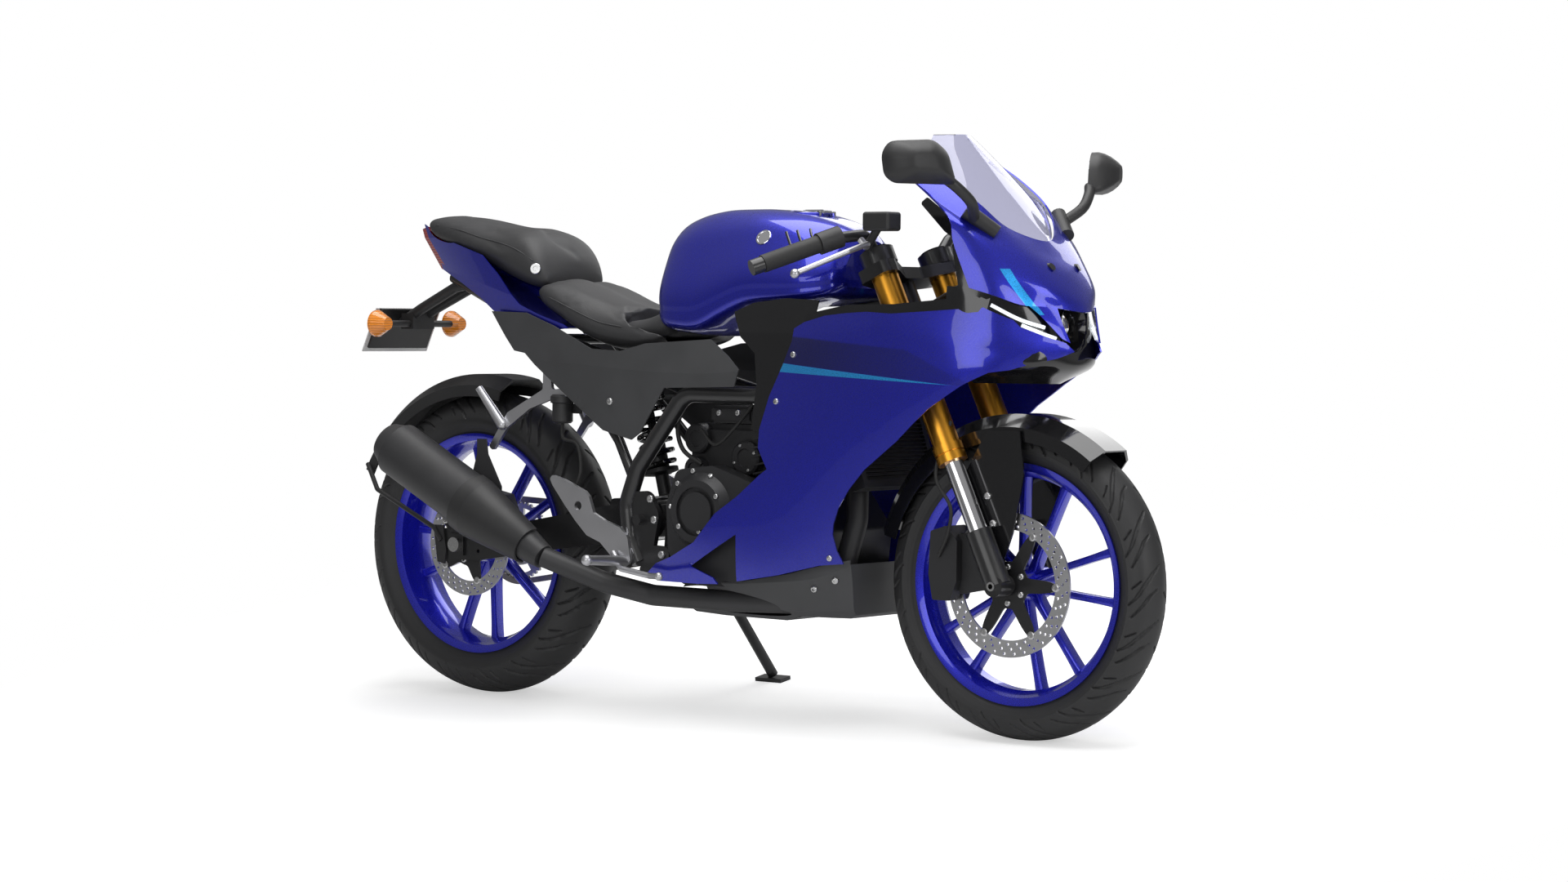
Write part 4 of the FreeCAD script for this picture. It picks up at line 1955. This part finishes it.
REARSET_BOLT_SHARE = (0.364, 0.298)
REARSET_BOLT_SHARES = [
    (0.363, 0.318), (0.373, 0.282),
]
PILLION_BRACKET_SHARES = [
    (0.075, 0.456), (0.084, 0.449), (0.112, 0.491), (0.157, 0.526), (0.196, 0.542),
    (0.247, 0.554), (0.25, 0.568), (0.201, 0.561), (0.196, 0.609), (0.184, 0.609),
    (0.183, 0.561), (0.112, 0.518),
]
PILLION_BRACKET_Y = 124.0
PILLION_PEG_SHARES = [
    (0.105, -0.188, 0.496), (0.063, -0.201, 0.561),
]


@lru_cache
def pillion_brackets():
    """The passenger's footrest brackets with their folded footrests."""
    low = -PILLION_BRACKET_Y - BRACKET_THICKNESS
    plate = soft_shape(PILLION_BRACKET_SHARES, low, -PILLION_BRACKET_Y, ADJUSTER_THICKNESS)
    start, end = [at(share) for share in PILLION_PEG_SHARES]
    peg = joined([cone(start, end, PEG_RADIUS, PEG_RADIUS * 0.7), ball(start, PEG_RADIUS)])
    boss = []
    for share in PILLION_BOLT_SHARES:
        rail = abs(at(SUBFRAME_SHARES[2]).y)
        boss.append(rod(flat(share, -rail), flat(share, low), BOLT_BOSS_RADIUS * 0.8))
    body = joined([plate, peg] + boss)
    return both_sides(largest(body.cut(subframe()).cut(side_covers())))


PILLION_BOLT_SHARES = [
    (0.19, 0.602), (0.247, 0.561),
]

# side stand


STAND_PIVOT_SHARE = (0.382, 0.216)
STAND_PIVOT_Y = 122.0
STAND_FOOT_SHARE = (0.403, 0.361, 0)


def stand_foot_point():
    """Where the stand's foot meets the ground that the leaned machine stands on."""
    foot = at(STAND_FOOT_SHARE)
    lean = math.radians(PARK_LEAN_DEG)
    return V(foot.x, foot.y, foot.y * math.tan(lean) - park_lift() / math.cos(lean))


def stand_spread_deg():
    """How far the stand's leg spreads from upright, seen from the front."""
    pivot = flat(STAND_PIVOT_SHARE, STAND_PIVOT_Y)
    foot = stand_foot_point()
    return math.degrees(math.atan2(foot.y - pivot.y, pivot.z - foot.z))


def stand_turned(shape):
    """A piece drawn about a level pin, tilted so that the leg is square to the pin."""
    shape = shape.copy()
    shape.rotate(flat(STAND_PIVOT_SHARE, STAND_PIVOT_Y), V(1, 0, 0), stand_spread_deg())
    return shape


@lru_cache
def side_stand():
    """The side stand's leg, eye and flat foot."""
    pivot = flat(STAND_PIVOT_SHARE, STAND_PIVOT_Y)
    foot = stand_foot_point()
    half = V(0, STAND_LUG_THICKNESS / 2, 0)
    eye = stand_turned(rod(pivot - half, pivot + half, STAND_LUG_RADIUS))
    leg = rod(pivot, foot + V(0, 0, STAND_RADIUS), STAND_RADIUS * STAND_LEG_SHARE)
    pad = Part.makeBox(STAND_FOOT_LENGTH, STAND_FOOT_WIDTH, STAND_FOOT_THICKNESS,
                       foot + V(-STAND_FOOT_LENGTH / 2, -STAND_FOOT_WIDTH / 2, 0))
    pad.rotate(foot, V(1, 0, 0), PARK_LEAN_DEG)
    body = joined([eye, leg, pad])
    reach = V(0, STAND_LUG_RADIUS * 2, 0)
    return body.cut(stand_turned(rod(pivot - reach, pivot + reach, STAND_PIVOT_RADIUS + FIT)))


STAND_LEG_SHARE = 0.9


@lru_cache
def stand_bracket():
    """The fork on the frame that holds the side stand's pin."""
    pivot = flat(STAND_PIVOT_SHARE, STAND_PIVOT_Y)
    gap = STAND_LUG_THICKNESS / 2 + SPACER_GAP
    reach = gap + STAND_LUG_THICKNESS / 2
    top = STAND_LUG_RADIUS + SIDE_GAP
    pieces = []
    for low in (pivot.y + gap, pivot.y - reach):
        plate = box(V(pivot.x - STAND_LUG_RADIUS, low, pivot.z - STAND_LUG_RADIUS),
                    V(pivot.x + STAND_LUG_RADIUS, low + STAND_LUG_THICKNESS / 2, pivot.z + top))
        pieces.append(plate)
    pieces.append(rod(pivot - V(0, reach, 0), pivot + V(0, reach, 0), STAND_PIVOT_RADIUS))
    pieces.append(box(V(pivot.x - STAND_LUG_RADIUS, pivot.y - reach, pivot.z + top),
                      V(pivot.x + STAND_LUG_RADIUS, pivot.y + reach,
                        pivot.z + top + STAND_LUG_THICKNESS)))
    return stand_turned(joined(pieces))


def park_lift():
    """How much the round tyre crowns raise the machine as it leans."""
    return FRONT_TYRE_WIDTH / 2 * (1 - math.cos(math.radians(PARK_LEAN_DEG)))


def leaned(shape):
    """A finished piece, leaned onto its side stand."""
    shape = shape.copy()
    shape.rotate(V(0, 0, 0), V(1, 0, 0), -PARK_LEAN_DEG)
    shape.translate(V(0, 0, park_lift()))
    return shape


def centring(shapes):
    """The shift that puts the origin under the middle of the leaned machine."""
    bounds = [shape.optimalBoundingBox(False, False) for shape in shapes]
    x = min(b.XMin for b in bounds) + max(b.XMax for b in bounds)
    y = min(b.YMin for b in bounds) + max(b.YMax for b in bounds)
    return V(-x / 2, -y / 2, 0)


NODES = {
    "main_frame": main_frame,
    "subframe": lambda: subframe().cut(main_frame()),
    "engine": engine,
    "engine_covers": engine_covers,
    "radiator": radiator,
    "exhaust_pipe": exhaust_pipe,
    "silencer": silencer,
    "silencer_shield": silencer_shield,
    "fuel_tank": fuel_tank,
    "rider_seat": rider_seat,
    "pillion_seat": pillion_seat,
    "tail_cowl": tail_cowl,
    "tail_lamp": tail_lamp,
    "side_covers": side_covers,
    "inner_panels": inner_panels,
    "side_cowls": side_cowls,
    "belly_cowl": belly_cowl,
    "upper_cowl": upper_cowl,
    "windscreen": windscreen,
    "lamp_duct": lamp_duct,
    "headlamp": headlamp,
    "instrument": instrument,
    "nose_stay": nose_stay,
    "mirrors": mirrors,
    "plate_hanger": plate_hanger,
    "number_plate": number_plate,
    "indicators": indicators,
    "swingarm": swingarm,
    "rear_axle": rear_axle,
    "rear_guard": rear_guard,
    "rear_caliper": rear_caliper,
    "drive_chain": chain,
    "rearsets": rearsets,
    "pillion_brackets": pillion_brackets,
    "yokes": yokes,
    "fork_tubes": fork_tubes,
    "fork_stanchions": fork_stanchions,
    "fork_bottoms": fork_bottoms,
    "front_axle": front_axle,
    "front_guard": front_guard,
    "front_caliper": front_caliper,
    "handlebars": lambda: bars()[0],
    "grips": lambda: both_sides(bars()[1]),
    "switch_housings": hand_controls,
    "hand_levers": hand_levers,
    "brake_reservoir": brake_reservoir,
    "front_rim": lambda: rim(FRONT_AXLE, FRONT_RIM_WIDTH, FRONT_HUB_RADIUS, FRONT_HUB_WIDTH),
    "front_tyre": lambda: tyre(FRONT_AXLE, FRONT_TYRE_RADIUS, FRONT_TYRE_WIDTH, FRONT_RIM_WIDTH),
    "front_disc": lambda: disc(FRONT_AXLE, -FRONT_DISC_Y, FRONT_DISC_RADIUS, FRONT_DISC_INNER,
                               FRONT_CARRIER_RADIUS, AXLE_RADIUS + SIDE_GAP, FRONT_HUB_WIDTH / 2),
    "rear_rim": lambda: rim(REAR_AXLE, REAR_RIM_WIDTH, REAR_HUB_RADIUS, REAR_HUB_WIDTH),
    "rear_tyre": lambda: tyre(REAR_AXLE, REAR_TYRE_RADIUS, REAR_TYRE_WIDTH, REAR_RIM_WIDTH),
    "rear_disc": lambda: disc(REAR_AXLE, -REAR_DISC_Y, REAR_DISC_RADIUS, REAR_DISC_INNER,
                              REAR_CARRIER_RADIUS, AXLE_RADIUS + SIDE_GAP, REAR_HUB_WIDTH / 2),
    "rear_sprocket": rear_sprocket,
    "side_stand": side_stand,
    "fuel_cap": fuel_cap,
}


def main():
    """Build every piece and write one file for each."""
    os.makedirs("parts", exist_ok=True)
    pieces = {name: leaned(build()) for name, build in NODES.items()}
    shift = centring(pieces.values())
    for name, piece in pieces.items():
        piece.translate(shift)
        piece.exportStep("parts/" + name + ".step")


main()
